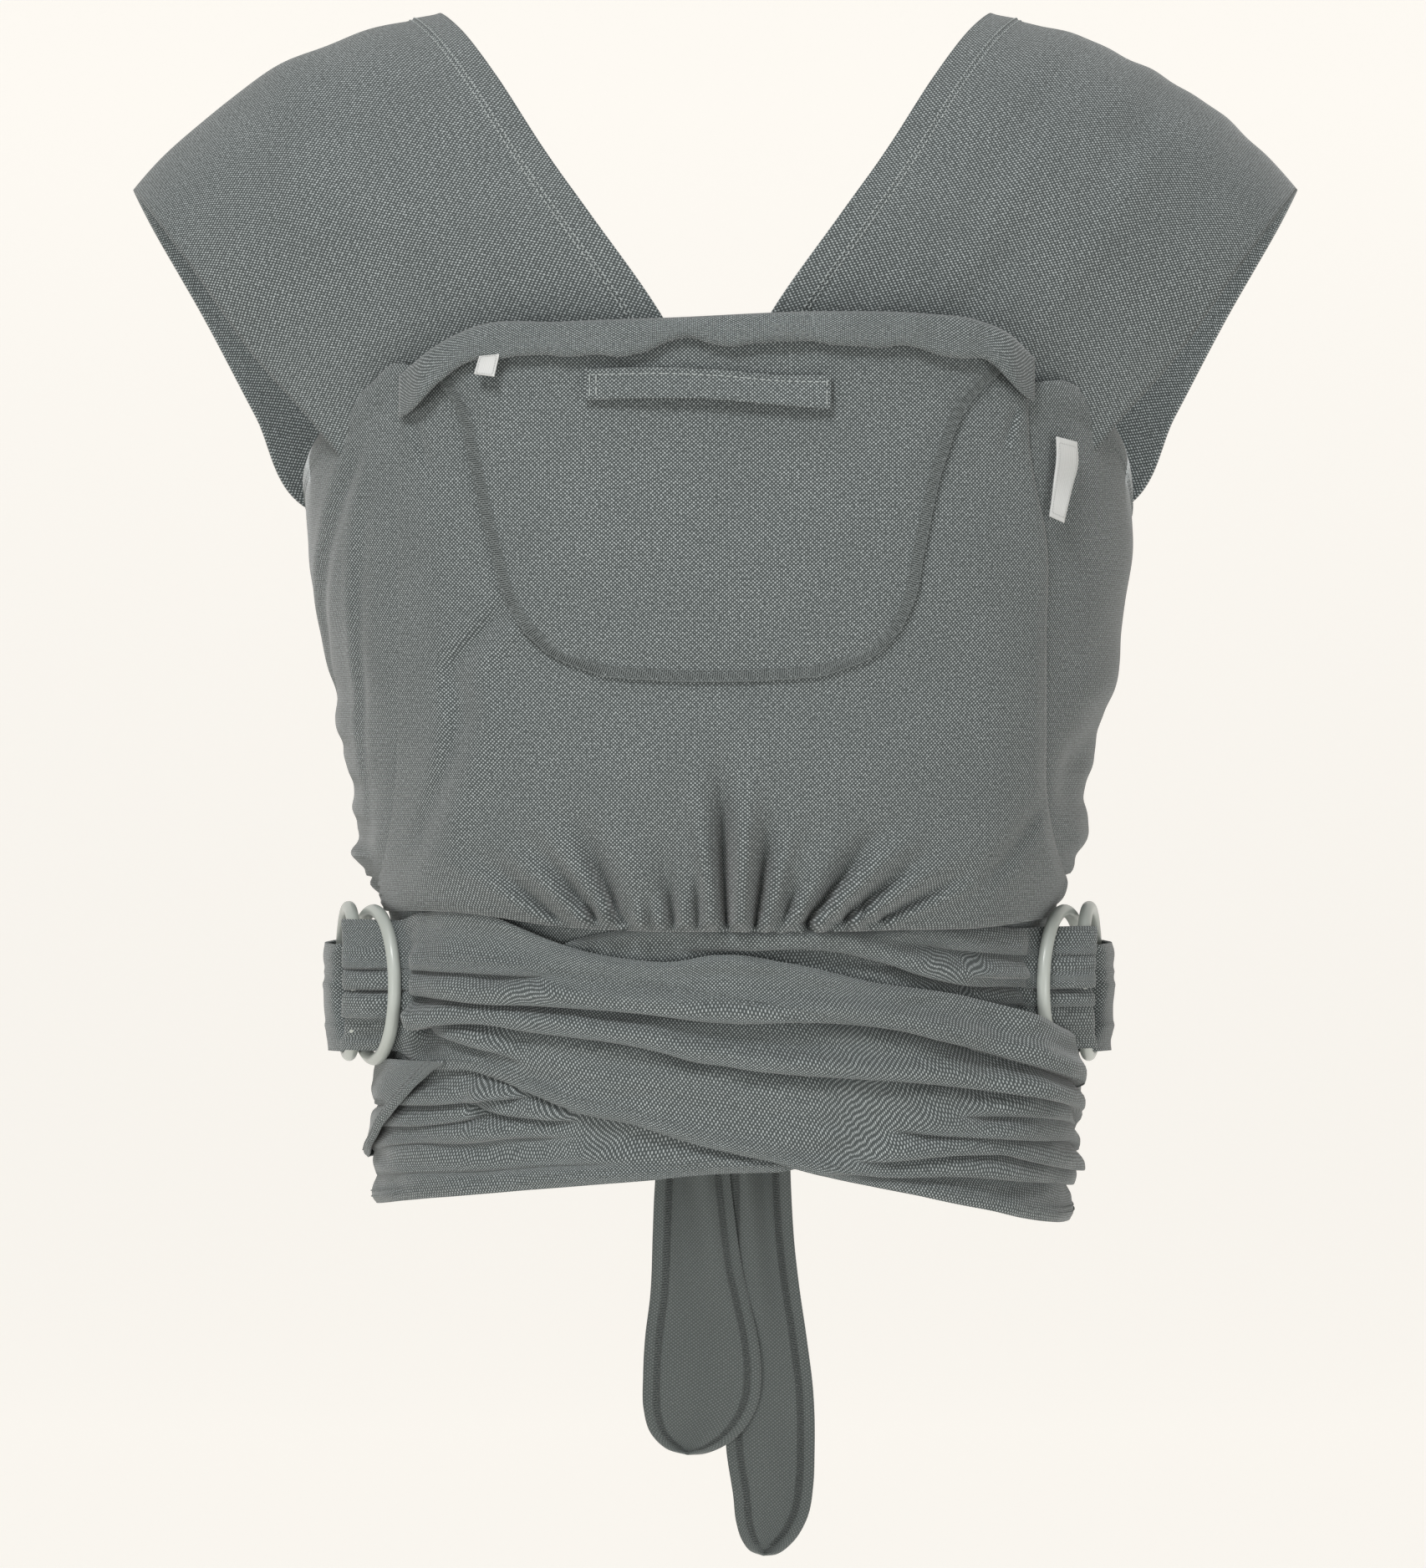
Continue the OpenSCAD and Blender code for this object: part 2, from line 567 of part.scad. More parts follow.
mirror([1, 0, 0]) ring(front_at, yaw_front);  // right_ring_front
mirror([1, 0, 0]) ring(rear_at, yaw_rear);  // right_ring_rear
ring_loop();  // left_ring_loop
mirror([1, 0, 0]) ring_loop();  // right_ring_loop
ring_gather();  // left_ring_gather
mirror([1, 0, 0]) ring_gather();  // right_ring_gather
sash_knot();
knot_wrap();
tail_root();
left_tail();
right_tail();
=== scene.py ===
import math

import bmesh
import bpy
import numpy as np
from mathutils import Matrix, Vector


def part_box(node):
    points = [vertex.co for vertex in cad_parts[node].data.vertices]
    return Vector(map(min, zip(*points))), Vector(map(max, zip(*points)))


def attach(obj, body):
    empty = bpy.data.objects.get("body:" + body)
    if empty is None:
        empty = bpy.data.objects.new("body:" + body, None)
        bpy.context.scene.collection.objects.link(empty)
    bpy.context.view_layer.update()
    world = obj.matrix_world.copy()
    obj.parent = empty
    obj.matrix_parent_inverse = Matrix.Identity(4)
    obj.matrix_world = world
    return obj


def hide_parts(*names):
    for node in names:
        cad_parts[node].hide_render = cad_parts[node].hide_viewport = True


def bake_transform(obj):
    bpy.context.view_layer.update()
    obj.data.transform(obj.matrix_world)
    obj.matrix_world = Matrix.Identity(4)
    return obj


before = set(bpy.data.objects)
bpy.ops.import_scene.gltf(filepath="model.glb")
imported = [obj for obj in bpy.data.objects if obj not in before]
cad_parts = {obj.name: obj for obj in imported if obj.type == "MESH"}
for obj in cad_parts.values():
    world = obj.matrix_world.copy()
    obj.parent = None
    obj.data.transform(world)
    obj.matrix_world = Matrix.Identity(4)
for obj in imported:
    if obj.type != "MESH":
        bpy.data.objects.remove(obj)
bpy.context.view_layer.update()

# Lengths are in millimetres until a mesh is made. Angles go round the trunk from its front (-Y)
# towards +X, in degrees. "Out" is the distance from the trunk's skin. A side is -1 at the
# picture's left and 1 at its right.
MM = 0.001
CLOTH = 1.2
PITCH = 1.9
FULLNESS = 0.85
LAYER = {name: n * PITCH + CLOTH / 2 for n, name in enumerate(
    ["cross_left", "cross_right", "wing", "panel", "sash_right", "sash_left", "fold"])}
WAIST = 246 / 2
WAIST_DEEP = 178 / 2
CHEST = 304 / 2
CHEST_DEEP = 216 / 2


def mm(corner):
    """A corner of the frame, in millimetres."""
    return np.array(corner) / MM


# ---- Small tools -------------------------------------------------------------------------------

WORD = {-1: "left", 1: "right"}
MIRROR = np.array([-1, 1, 1])


def smooth(t):
    """0 to 1 with soft ends."""
    t = np.clip(t, 0, 1)
    return t * t * (3 - 2 * t)


def window(x, a, b, c, d):
    """0 before a, 1 from b to c, and 0 after d."""
    return smooth((x - a) / (b - a)) * (1 - smooth((x - c) / (d - c)))


def bell(x, width):
    """1 at x = 0, falling to nothing beyond the width."""
    return np.exp(-(x / width) ** 2)


def mix(a, b, t):
    return a + (b - a) * t


def down(a, b, n):
    """n values from a to b, one for each of a grid's rows."""
    return np.linspace(a, b, n)[:, None]


def across(a, b, n):
    """n values from a to b, one for each of a grid's columns."""
    return np.linspace(a, b, n)[None, :]


def curve(knots):
    """A smooth curve through [position, value, ...] knots, flat outside them."""
    k = np.array(knots, float)
    t, v = k[:, 0], k[:, 1:]
    m = np.gradient(v, t, axis=0) if len(t) > 2 else np.repeat((v[1:] - v[:1]) / (t[1] - t[0]), 2, 0)

    def at(x):
        x = np.clip(np.asarray(x, float), t[0], t[-1])
        i = np.clip(np.searchsorted(t, x, "right") - 1, 0, len(t) - 2)
        h = t[i + 1] - t[i]
        s = ((x - t[i]) / h)[..., None]
        h = h[..., None]
        out = ((2 * s ** 3 - 3 * s ** 2 + 1) * v[i] + (s ** 3 - 2 * s ** 2 + s) * h * m[i]
               + (-2 * s ** 3 + 3 * s ** 2) * v[i + 1] + (s ** 3 - s ** 2) * h * m[i + 1])
        return out[..., 0] if v.shape[1] == 1 else out
    return at


def ripple(seed, long_x, long_y):
    """A smooth random surface of height about 1, with features long_x by long_y across."""
    rng = np.random.default_rng(seed)
    waves = 14
    kx = rng.normal(0, 1, waves) * 2 * np.pi / (2.2 * long_x)
    ky = rng.normal(0, 1, waves) * 2 * np.pi / (2.2 * long_y)
    phase = rng.uniform(0, 2 * np.pi, waves)
    scale = math.sqrt(2 / waves)

    def at(x, y):
        x, y = np.asarray(x, float)[..., None], np.asarray(y, float)[..., None]
        return np.sin(x * kx + y * ky + phase).sum(-1) * scale * 0.7
    return at


# ---- The trunk ---------------------------------------------------------------------------------

TRUNK = curve([
    [-5, 0.985 * WAIST, 0.99 * WAIST_DEEP, 0.96 * WAIST_DEEP],
    [30, WAIST, 1.01 * WAIST_DEEP, 0.97 * WAIST_DEEP],
    [58, 0.978 * WAIST, 1.03 * WAIST_DEEP, 0.97 * WAIST_DEEP],
    [90, 0.978 * WAIST, 1.07 * WAIST_DEEP, 0.98 * WAIST_DEEP],
    [122, 0.985 * WAIST, 1.12 * WAIST_DEEP, WAIST_DEEP],
    [136, 1.05 * WAIST, 1.18 * WAIST_DEEP, 1.02 * WAIST_DEEP],
    [165, 0.885 * CHEST, 1.06 * CHEST_DEEP, 0.87 * CHEST_DEEP],
    [210, 0.945 * CHEST, 1.09 * CHEST_DEEP, 0.91 * CHEST_DEEP],
    [275, CHEST, 1.08 * CHEST_DEEP, 0.96 * CHEST_DEEP],
    [330, 0.985 * CHEST, 1.02 * CHEST_DEEP, 0.96 * CHEST_DEEP],
])


def power(v, p):
    return np.sign(v) * np.abs(v) ** p


def trunk(angle, z, out=0.0):
    """Points on the trunk and the directions out of it."""
    angle, z, out = np.broadcast_arrays(np.asarray(angle, float), np.asarray(z, float),
                                        np.asarray(out, float))
    half = TRUNK(z)
    s, c = np.sin(np.radians(angle)), np.cos(np.radians(angle))
    w, d = half[..., 0], np.where(c > 0, half[..., 1], half[..., 2])
    n = np.stack([power(s, 2 - FULLNESS) / w, -power(c, 2 - FULLNESS) / d, np.zeros_like(w)], -1)
    n /= np.linalg.norm(n, axis=-1, keepdims=True)
    p = np.stack([w * power(s, FULLNESS), -d * power(c, FULLNESS), z], -1)
    return p + n * out[..., None], n


def angle_at(x, z, out=0.0):
    """The angle in front at which a layer that far out is x wide."""
    half = TRUNK(z)[..., 0] + out
    return np.degrees(np.arcsin(power(np.clip(x / half, -1, 1), 1 / FULLNESS)))


# ---- Meshes ------------------------------------------------------------------------------------

def add_mesh(name, points, faces, uv=None, material=None):
    """A mesh object from points in millimetres; uv gives each point's place on the cloth, in metres."""
    mesh = bpy.data.meshes.new(name)
    points = np.asarray(points, float) * MM
    faces = np.asarray(faces, int)
    mesh.vertices.add(len(points))
    mesh.vertices.foreach_set("co", points.astype(np.float32).ravel())
    size = faces.shape[1]
    mesh.loops.add(faces.size)
    mesh.loops.foreach_set("vertex_index", faces.ravel().astype(np.int32))
    mesh.polygons.add(len(faces))
    mesh.polygons.foreach_set("loop_start", np.arange(0, faces.size, size, dtype=np.int32))
    mesh.polygons.foreach_set("use_smooth", np.full(len(faces), True))
    if uv is not None:
        layer = mesh.uv_layers.new(name="cloth")
        layer.data.foreach_set("uv", np.asarray(uv, float)[faces.ravel()].astype(np.float32).ravel())
    mesh.update(calc_edges=True)
    mesh.validate()
    piece = bpy.data.objects.new(name, mesh)
    bpy.context.scene.collection.objects.link(piece)
    if material:
        mesh.materials.append(material)
    return piece


def grid_faces(nu, nv, closed=False):
    i, j = np.meshgrid(np.arange(nu if closed else nu - 1), np.arange(nv - 1), indexing="ij")
    a = i * nv + j
    b = ((i + 1) % nu) * nv + j
    return np.stack([a, b, b + 1, a + 1], -1).reshape(-1, 4)


def flat_uv(u, v):
    """The places u, v on the flat cloth, in metres."""
    return np.stack(np.broadcast_arrays(u, v), -1).reshape(-1, 2) * MM


def cloth_uv(grid):
    """Each grid point's place on the flat cloth, from lengths along the grid's lines."""
    du = np.linalg.norm(np.diff(grid, axis=0), axis=-1).mean(1)
    dv = np.linalg.norm(np.diff(grid, axis=1), axis=-1).mean(0)
    u = np.concatenate([[0], np.cumsum(du)])
    v = np.concatenate([[0], np.cumsum(dv)])
    return flat_uv(u[:, None], v[None, :])


def cloth_sheet(name, grid, material, uv=None, thick=CLOTH, flip=False):
    """A sheet of cloth whose middle is the grid of points, with its real thickness."""
    nu, nv = grid.shape[:2]
    faces = grid_faces(nu, nv)
    if flip:
        faces = faces[:, ::-1]
    piece = add_mesh(name, grid.reshape(-1, 3), faces, cloth_uv(grid) if uv is None else uv, material)
    solid = piece.modifiers.new("thickness", "SOLIDIFY")
    solid.thickness = thick * MM
    solid.offset = 0
    solid.use_rim = True
    return piece


def place(piece, body, slot, *nodes):
    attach(piece, body)
    if nodes:
        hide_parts(*nodes)
    return piece


# ---- Thread ------------------------------------------------------------------------------------

def distance_along(path):
    """How far along a path each of its points is."""
    return np.concatenate([[0], np.cumsum(np.linalg.norm(np.diff(path, axis=0), axis=-1))])


def along(path, spacing):
    """Points every spacing along a path."""
    far = distance_along(path)
    at = np.linspace(0, far[-1], max(2, int(far[-1] / spacing)))
    return np.stack([np.interp(at, far, path[:, k]) for k in range(path.shape[1])], -1)


# A stitch's rings: [place along it, width, lift], as shares of its length and width.
STITCH_RINGS = np.array([[-0.5, 0.15, -0.25], [-0.36, 0.85, 0.05], [0.0, 1.0, 0.3], [0.36, 0.85, 0.05],
                         [0.5, 0.15, -0.25]])


def stitch_mesh(name, starts, ends, outs, width, material):
    """Short lengths of thread from starts to ends, bowed out of the cloth."""
    mid, run = (starts + ends) / 2, ends - starts
    length = np.linalg.norm(run, axis=-1, keepdims=True)
    t = run / length
    side = np.cross(t, outs)
    side /= np.linalg.norm(side, axis=-1, keepdims=True)
    sides = 6
    turn = np.arange(sides) * 2 * np.pi / sides
    rings = []
    for place_along, fat, lift in STITCH_RINGS:
        centre = mid + t * length * place_along + outs * width * lift
        ring = (centre[:, None] + side[:, None] * (np.cos(turn) * width / 2 * fat)[None, :, None]
                + outs[:, None] * (np.sin(turn) * width / 2 * fat)[None, :, None])
        rings.append(ring)
    points = np.stack(rings, 1)
    n, m = len(starts), len(STITCH_RINGS)
    i, r, k = np.meshgrid(np.arange(n), np.arange(m - 1), np.arange(sides), indexing="ij")
    base = i * m * sides
    a = base + r * sides + k
    b = base + r * sides + (k + 1) % sides
    faces = np.stack([a, a + sides, b + sides, b], -1).reshape(-1, 4)
    return add_mesh(name, points.reshape(-1, 3), faces, None, material)


def running_stitch(name, path, outs, material, pitch, width):
    """A line of straight stitches along a path on the cloth."""
    both = along(np.concatenate([path, outs], -1), pitch)
    p, n = both[:, :3], both[:, 3:]
    n /= np.linalg.norm(n, axis=-1, keepdims=True)
    gap = 0.14
    starts, ends = mix(p[:-1], p[1:], gap), mix(p[:-1], p[1:], 1 - gap)
    return stitch_mesh(name, starts, ends, n[:-1], width, material)


def join(name, pieces):
    """One piece from several."""
    bpy.ops.object.select_all(action="DESELECT")
    for p in pieces:
        p.select_set(True)
    bpy.context.view_layer.objects.active = pieces[0]
    bpy.ops.object.join()
    pieces[0].name = name
    return pieces[0]


# ---- Materials ---------------------------------------------------------------------------------

class Nodes:
    """A short way to write a material's nodes."""

    def __init__(self, name):
        self.material = bpy.data.materials.new(name)
        self.material.use_nodes = True
        self.tree = self.material.node_tree
        self.shader = self.tree.nodes["Principled BSDF"]

    def new(self, kind, **values):
        node = self.tree.nodes.new(kind)
        for key, value in values.items():
            setattr(node, key, value)
        return node

    def link(self, a, b):
        self.tree.links.new(a, b)

    def math(self, operation, a, b=None, c=None, clamp=False):
        node = self.new("ShaderNodeMath", operation=operation, use_clamp=clamp)
        for i, value in enumerate(v for v in (a, b, c) if v is not None):
            if hasattr(value, "is_linked") or hasattr(value, "links"):
                self.link(value, node.inputs[i])
            else:
                node.inputs[i].default_value = value
        return node.outputs[0]

    def noise(self, vector, scale, detail=2, roughness=0.5):
        node = self.new("ShaderNodeTexNoise")
        node.inputs["Scale"].default_value = scale
        node.inputs["Detail"].default_value = detail
        node.inputs["Roughness"].default_value = roughness
        self.link(vector, node.inputs["Vector"])
        return node.outputs["Fac"]

    def cloth_place(self):
        """The place on the flat cloth, whole and split into its two ways."""
        uv = self.new("ShaderNodeUVMap", uv_map="cloth").outputs[0]
        split = self.new("ShaderNodeSeparateXYZ")
        self.link(uv, split.inputs[0])
        return uv, split

    def relief(self, height, strength, depth):
        """A bump of that depth in millimetres."""
        bump = self.new("ShaderNodeBump")
        bump.inputs["Strength"].default_value = strength
        bump.inputs["Distance"].default_value = depth * MM
        self.link(height, bump.inputs["Height"])
        self.link(bump.outputs[0], self.shader.inputs["Normal"])

    def finish(self, **values):
        """Sets the shader's own sockets, named with _ for a space."""
        for name, value in values.items():
            self.shader.inputs[name.replace("_", " ")].default_value = value
        return self.material

    def colour_mix(self, factor, a, b):
        node = self.new("ShaderNodeMix", data_type="RGBA")
        for socket, value in ((node.inputs[0], factor), (node.inputs[6], a), (node.inputs[7], b)):
            if hasattr(value, "links"):
                self.link(value, socket)
            elif socket == node.inputs[0]:
                socket.default_value = value
            else:
                socket.default_value = (*value, 1)
        return node.outputs[2]


DOT = 1.4


def weave(name, dark, light, contrast, slubs=0.9):
    """Oxford cloth: pale dots where the light threads pass over, set in a diamond lattice."""
    n = Nodes(name)
    uv, split = n.cloth_place()
    turn = 2 * math.pi / (DOT * MM)
    wobble_x = n.math("MULTIPLY", n.math("SUBTRACT", n.noise(uv, 160, 1), 0.5), 1.6)
    wobble_y = n.math("MULTIPLY", n.math("SUBTRACT", n.noise(uv, 210, 1), 0.5), 1.6)
    x = n.math("ADD", n.math("MULTIPLY", split.outputs[0], turn), wobble_x)
    y = n.math("ADD", n.math("MULTIPLY", split.outputs[1], turn), wobble_y)
    lattice = n.math("MULTIPLY", n.math("COSINE", x), n.math("COSINE", y))
    slub = n.noise(uv, 900, 1)
    raised = n.math("ADD", lattice, n.math("MULTIPLY", n.math("SUBTRACT", slub, 0.5), slubs))
    spots = n.new("ShaderNodeMapRange", interpolation_type="SMOOTHSTEP")
    spots.inputs["From Min"].default_value = 0.12
    spots.inputs["From Max"].default_value = 0.78
    n.link(raised, spots.inputs["Value"])
    patchy = n.math("MULTIPLY_ADD", n.noise(uv, 45, 3), 0.5, 0.75)
    amount = n.math("MULTIPLY", n.math("MULTIPLY", spots.outputs[0], patchy), contrast, clamp=True)
    ground = n.colour_mix(n.noise(uv, 1400, 1), tuple(0.82 * c for c in dark), tuple(1.18 * c for c in dark))
    n.link(n.colour_mix(amount, ground, light), n.shader.inputs["Base Color"])
    n.relief(n.math("ADD", lattice, n.math("MULTIPLY", slub, 0.6)), 0.35, 0.12)
    return n.finish(Roughness=0.85, Sheen_Weight=0.25, Sheen_Roughness=0.5, Specular_IOR_Level=0.25)


def plain(name, colour, roughness, grain, grain_size, sheen=0.0, coat=0.0, vary=0.12):
    """A plain finish with fine grain and a little variation in colour."""
    n = Nodes(name)
    place_in = n.new("ShaderNodeTexCoord").outputs["Object"]
    patch = n.noise(place_in, 60, 4)
    n.link(n.colour_mix(patch, tuple((1 - vary) * c for c in colour), tuple((1 + vary) * c for c in colour)),
           n.shader.inputs["Base Color"])
    n.relief(n.noise(place_in, grain_size, 3), grain, 0.1)
    return n.finish(Roughness=roughness, Sheen_Weight=sheen, Coat_Weight=coat)


def ribbed(name, colour, pitch):
    """Woven ribbon or elastic: fine ribs across its length."""
    n = Nodes(name)
    _, split = n.cloth_place()
    turn = 2 * math.pi / (pitch * MM)
    rib = n.math("SINE", n.math("MULTIPLY", split.outputs[0], turn))
    fine = n.math("SINE", n.math("MULTIPLY", split.outputs[1], 2 * turn))
    amount = n.math("MULTIPLY_ADD", n.math("ADD", rib, n.math("MULTIPLY", fine, 0.5)), 0.2, 0.5, clamp=True)
    n.link(n.colour_mix(amount, tuple(0.72 * c for c in colour), colour), n.shader.inputs["Base Color"])
    n.relief(rib, 0.4, 0.1)
    return n.finish(Roughness=0.6, Sheen_Weight=0.15)


DARK_THREAD = (0.058, 0.068, 0.068)
LIGHT_THREAD = (0.53, 0.575, 0.58)
OXFORD = weave("oxford_cloth", DARK_THREAD, LIGHT_THREAD, 0.66, slubs=1.5)
# Painted light: a copy of the oxford cloth with paler dark threads and brighter dots, lifting the sashes, the
# fold and the ring loops.
OXFORD_SASH_PAINTED_LIGHT = weave("oxford_cloth_sash_painted_light", tuple(1.08 * c for c in DARK_THREAD), LIGHT_THREAD, 0.68, slubs=1.2)
# Partly the cloth's own plain side and partly painted shade: a copy of the oxford cloth with dimmer, fainter
# dots, for the cross bands, the knot, the tails and their root at the back.
OXFORD_PLAIN_SIDE_SHADED = weave("oxford_cloth_plain_side_and_shade", (0.098, 0.112, 0.110), (0.34, 0.372, 0.368), 0.4)
THREAD = plain("sewing_thread", (0.33, 0.36, 0.355), 0.6, 0.3, 4000, 0.2)
DARK_SEAM = plain("overlock_thread", (0.088, 0.100, 0.098), 0.7, 0.3, 4000, 0.2)
RING_COAT = plain("ring_powder_coat", (0.42, 0.45, 0.42), 0.38, 0.25, 2600, coat=0.25, vary=0.05)
SEAM = plain("seam_thread", (0.135, 0.152, 0.15), 0.7, 0.3, 4000, 0.2)
RIBBON = ribbed("label_ribbon", (0.62, 0.63, 0.62), 0.7)
RIBBON_EDGE = plain("label_border", (0.4, 0.41, 0.405), 0.6, 0.2, 4000)
ELASTIC = ribbed("white_elastic", (0.7, 0.69, 0.65), 1.1)

# ---- What the camera sees ----------------------------------------------------------------------
VIEW_X, VIEW_Z, VIEW_FAR = -2.24, 167.0, 2800.0
VIEW_TALL = 600.3


def unproject(x, z, y):
    """Where a point of depth y is, if the camera sees it at x, z in the plane through the trunk's axis."""
    k = (VIEW_FAR + y) / VIEW_FAR
    return VIEW_X + (x - VIEW_X) * k, VIEW_Z + (z - VIEW_Z) * k


def seen(x, z, out):
    """The angle and height at which a layer is seen at x, z."""
    x, z, out = np.broadcast_arrays(np.asarray(x, float), np.asarray(z, float), np.asarray(out, float))
    angle, height = angle_at(x, z, out), z.copy()
    for _ in range(14):
        p, n = trunk(angle, height, out)
        goal, height = unproject(x, z, p[..., 1])
        base = (goal - n[..., 0] * out) / TRUNK(height)[..., 0]
        angle = 0.5 * (angle + np.degrees(np.arcsin(power(np.clip(base, -1, 1), 1 / FULLNESS))))
    return angle, height


def laid(x, z, out):
    """A layer seen at x, z: its points, the directions out of it, and its angles and heights."""
    angle, height = seen(x, z, out)
    return (*trunk(angle, height, out), angle, height)


def round_trunk():
    """Distance round the trunk at each angle, for laying cloth out flat."""
    angle = np.linspace(-180, 180, 1441)
    p, _ = trunk(angle, np.full_like(angle, 200.0), 6.0)
    far = np.concatenate([[0], np.cumsum(np.linalg.norm(np.diff(p, axis=0), axis=-1))])
    return lambda a: np.interp(a, angle, far)


ROUND = round_trunk()


def normals_of(grid):
    n = np.cross(np.gradient(grid, axis=0), np.gradient(grid, axis=1))
    return n / np.maximum(np.linalg.norm(n, axis=-1, keepdims=True), 1e-9)


def sample(grid, u, v):
    """The grid's values at fractions u, v of its two ways."""
    nu, nv = grid.shape[:2]
    a, b = np.clip(u, 0, 1) * (nu - 1), np.clip(v, 0, 1) * (nv - 1)
    i, j = np.minimum(a.astype(int), nu - 2), np.minimum(b.astype(int), nv - 2)
    s, t = (a - i)[..., None], (b - j)[..., None]
    return ((1 - s) * (1 - t) * grid[i, j] + s * (1 - t) * grid[i + 1, j]
            + (1 - s) * t * grid[i, j + 1] + s * t * grid[i + 1, j + 1])


def stitched(name, grid, u, v, material, pitch, width, lift, flip=False):
    """A running stitch over a sheet, along the fractions u, v."""
    n = sample(normals_of(grid), u, v) * (-1 if flip else 1)
    return running_stitch(name, sample(grid, u, v) + n * lift, n, material, pitch, width)


def stitch_rows(name, grid, rows, material, pitch, width, lift, flip=False):
    """One piece of thread, from rows of stitches that each run along fractions u, v of a sheet."""
    lines = [stitched(f"{name}_{k}", grid, u, v + 0 * u, material, pitch, width, lift, flip)
             for k, (u, v) in enumerate(rows)]
    return place(join(name, lines), "carrier", "cloth")


def overlocked(name, inner, outer, outs, material, pitch, width):
    """An overlock seam: bars of thread across it, and a chain along both its sides."""
    both = along(np.concatenate([inner, outer, outs], -1), pitch)
    a, b, n = both[:, :3], both[:, 3:6], both[:, 6:]
    n /= np.linalg.norm(n, axis=-1, keepdims=True)
    bars = stitch_mesh(name, a[:-1], mix(b[:-1], b[1:], 0.6), n[:-1], width, material)
    chains = [stitch_mesh(name + "_chain", mix(p[:-1], p[1:], 0.08), mix(p[:-1], p[1:], 0.92), n[:-1],
                          width, material)
              for p in (a, b)]
    return join(name, [bars, *chains])


# ---- Front panel -------------------------------------------------------------------------------
PANEL_LEFT = curve([[95, -134], [119, -134], [135, -131], [150, -128], [165, -126], [205, -125], [250, -125],
                    [280, -125], [309, -124], [345, -122]])
PANEL_RIGHT = curve([[95, 136], [118, 136], [130, 133], [142, 129], [160, 125.5], [188, 125], [222, 125],
                     [264, 124.6], [281, 121], [293, 119], [316, 118], [345, 118]])
POUCH_FOOT = curve([[-133, 119], [-100, 118.5], [-60, 113], [-20, 111], [0, 111], [30, 110.5], [63, 111.5],
                    [100, 112.5], [136, 118]])
HEM_LOW = curve([[-122, 308], [-120, 309], [-105, 324], [-93, 330], [-83, 331], [-50, 332], [-29, 333],
                 [-20, 337],
                 [-9, 338], [4, 335], [17, 337], [37, 337], [57, 335], [74, 335], [88, 331], [103, 330],
                 [118, 316], [121, 314]])
HEM_HIGH = curve([[-122, 323], [-110, 333], [-95, 341], [-60, 343.5], [-20, 345], [46, 347.5], [80, 346.5],
                  [99, 344], [112, 338], [120, 330]])
# The pouch's section: [place, height over its foot, distance out], with the tuck under it below 0.
POUCH = curve([[-1, -14, -0.3], [-0.75, -4, 0.3], [-0.5, 2.6, 1.2], [-0.3, 3.0, 3.2], [-0.12, 0.7, 5.4],
               [0, 0, 7.2]])
SAG = curve([[0, 7.2], [1.5, 9.0], [5, 10.2], [12, 10.4], [24, 9.4], [45, 6.8], [80, 3.4], [120, 1.5],
             [200, 0]])
# Gathers in the pouch: [x at the foot, x at the head, height of the head, depth, width]
GATHERS = [(2.6, 1.0, 178, 4.8, 3.4), (14.4, 20, 158, 3.8, 3.0), (-36.8, -56, 158, 3.6, 4.6),
           (-45, -72, 148, 2.4, 4.5),
           (33, 62, 152, 3.4, 4.6), (-17, -22, 150, 2.2, 4.2), (-8, -9, 140, 1.6, 3.0),
           (24, 36, 138, 1.8, 3.4),
           (46, 80, 143, 2.0, 4.6), (-60, -92, 142, 1.8, 5.0), (60, 98, 136, 1.4, 5.0)]
panel_waves = ripple(11, 60, 45)
pucker_phase = ripple(12, 30, 60)


def panel_out(x, z):
    """How far the panel stands out, where the camera sees it at x, z."""
    over = z - POUCH_FOOT(x)
    middle = window(x, -134, -98, 100, 136)
    out = LAYER["panel"] + SAG(np.maximum(over, 0)) * (0.12 + 0.88 * middle)
    for foot, head, top, deep, width in GATHERS:
        t = np.clip((z - 114) / (top - 114), 0, 1.3)
        r = (x - mix(foot, head, t)) / (width * (0.8 + 1.1 * t))
        fade = smooth((1.15 - t) / 0.9) * smooth((over + 1) / 5)
        out = out + 2.3 * deep * fade * (0.5 * bell(r - 1.75, 0.8) + 0.5 * bell(r + 1.75, 0.8) - bell(r,
                                                                                                      0.62))
    puckers = np.sin(2 * np.pi * x / 7.4 + 1.5 * pucker_phase(x, z * 0))
    out = out + 1.8 * puckers * window(x, -66, -46, 52, 78) * (1 - smooth((over - 2) / 16))
    out = out + 0.8 * panel_waves(x, z) * smooth((z - 118) / 40)
    # Short tucks run down from the hem's two ends.
    out = out - 2.4 * bell(x - (-118 + (311 - z) * 0.3), 1.8) * window(z, 284, 296, 307, 312)
    out = out - 1.8 * bell(x - (115 - (314 - z) * 0.35), 1.6) * window(z, 292, 300, 309, 314)
    # Soft creases at the two lower corners and down the left side.
    out = out - 2.6 * bell(x - (104.5 + (z - 132) * 0.7), 5) * window(z, 122, 132, 150, 172)
    out = out - 3.0 * bell(x - (-103 - 10 * bell(z - 212, 14) - (175 - z) * 0.35), 5) * window(z, 130, 150,
                                                                                               225, 244)
    out = out + 2.2 * bell(x - (-93 - 10 * bell(z - 212, 14) - (175 - z) * 0.35), 7) * window(z, 130, 155,
                                                                                              222, 246)
    return out


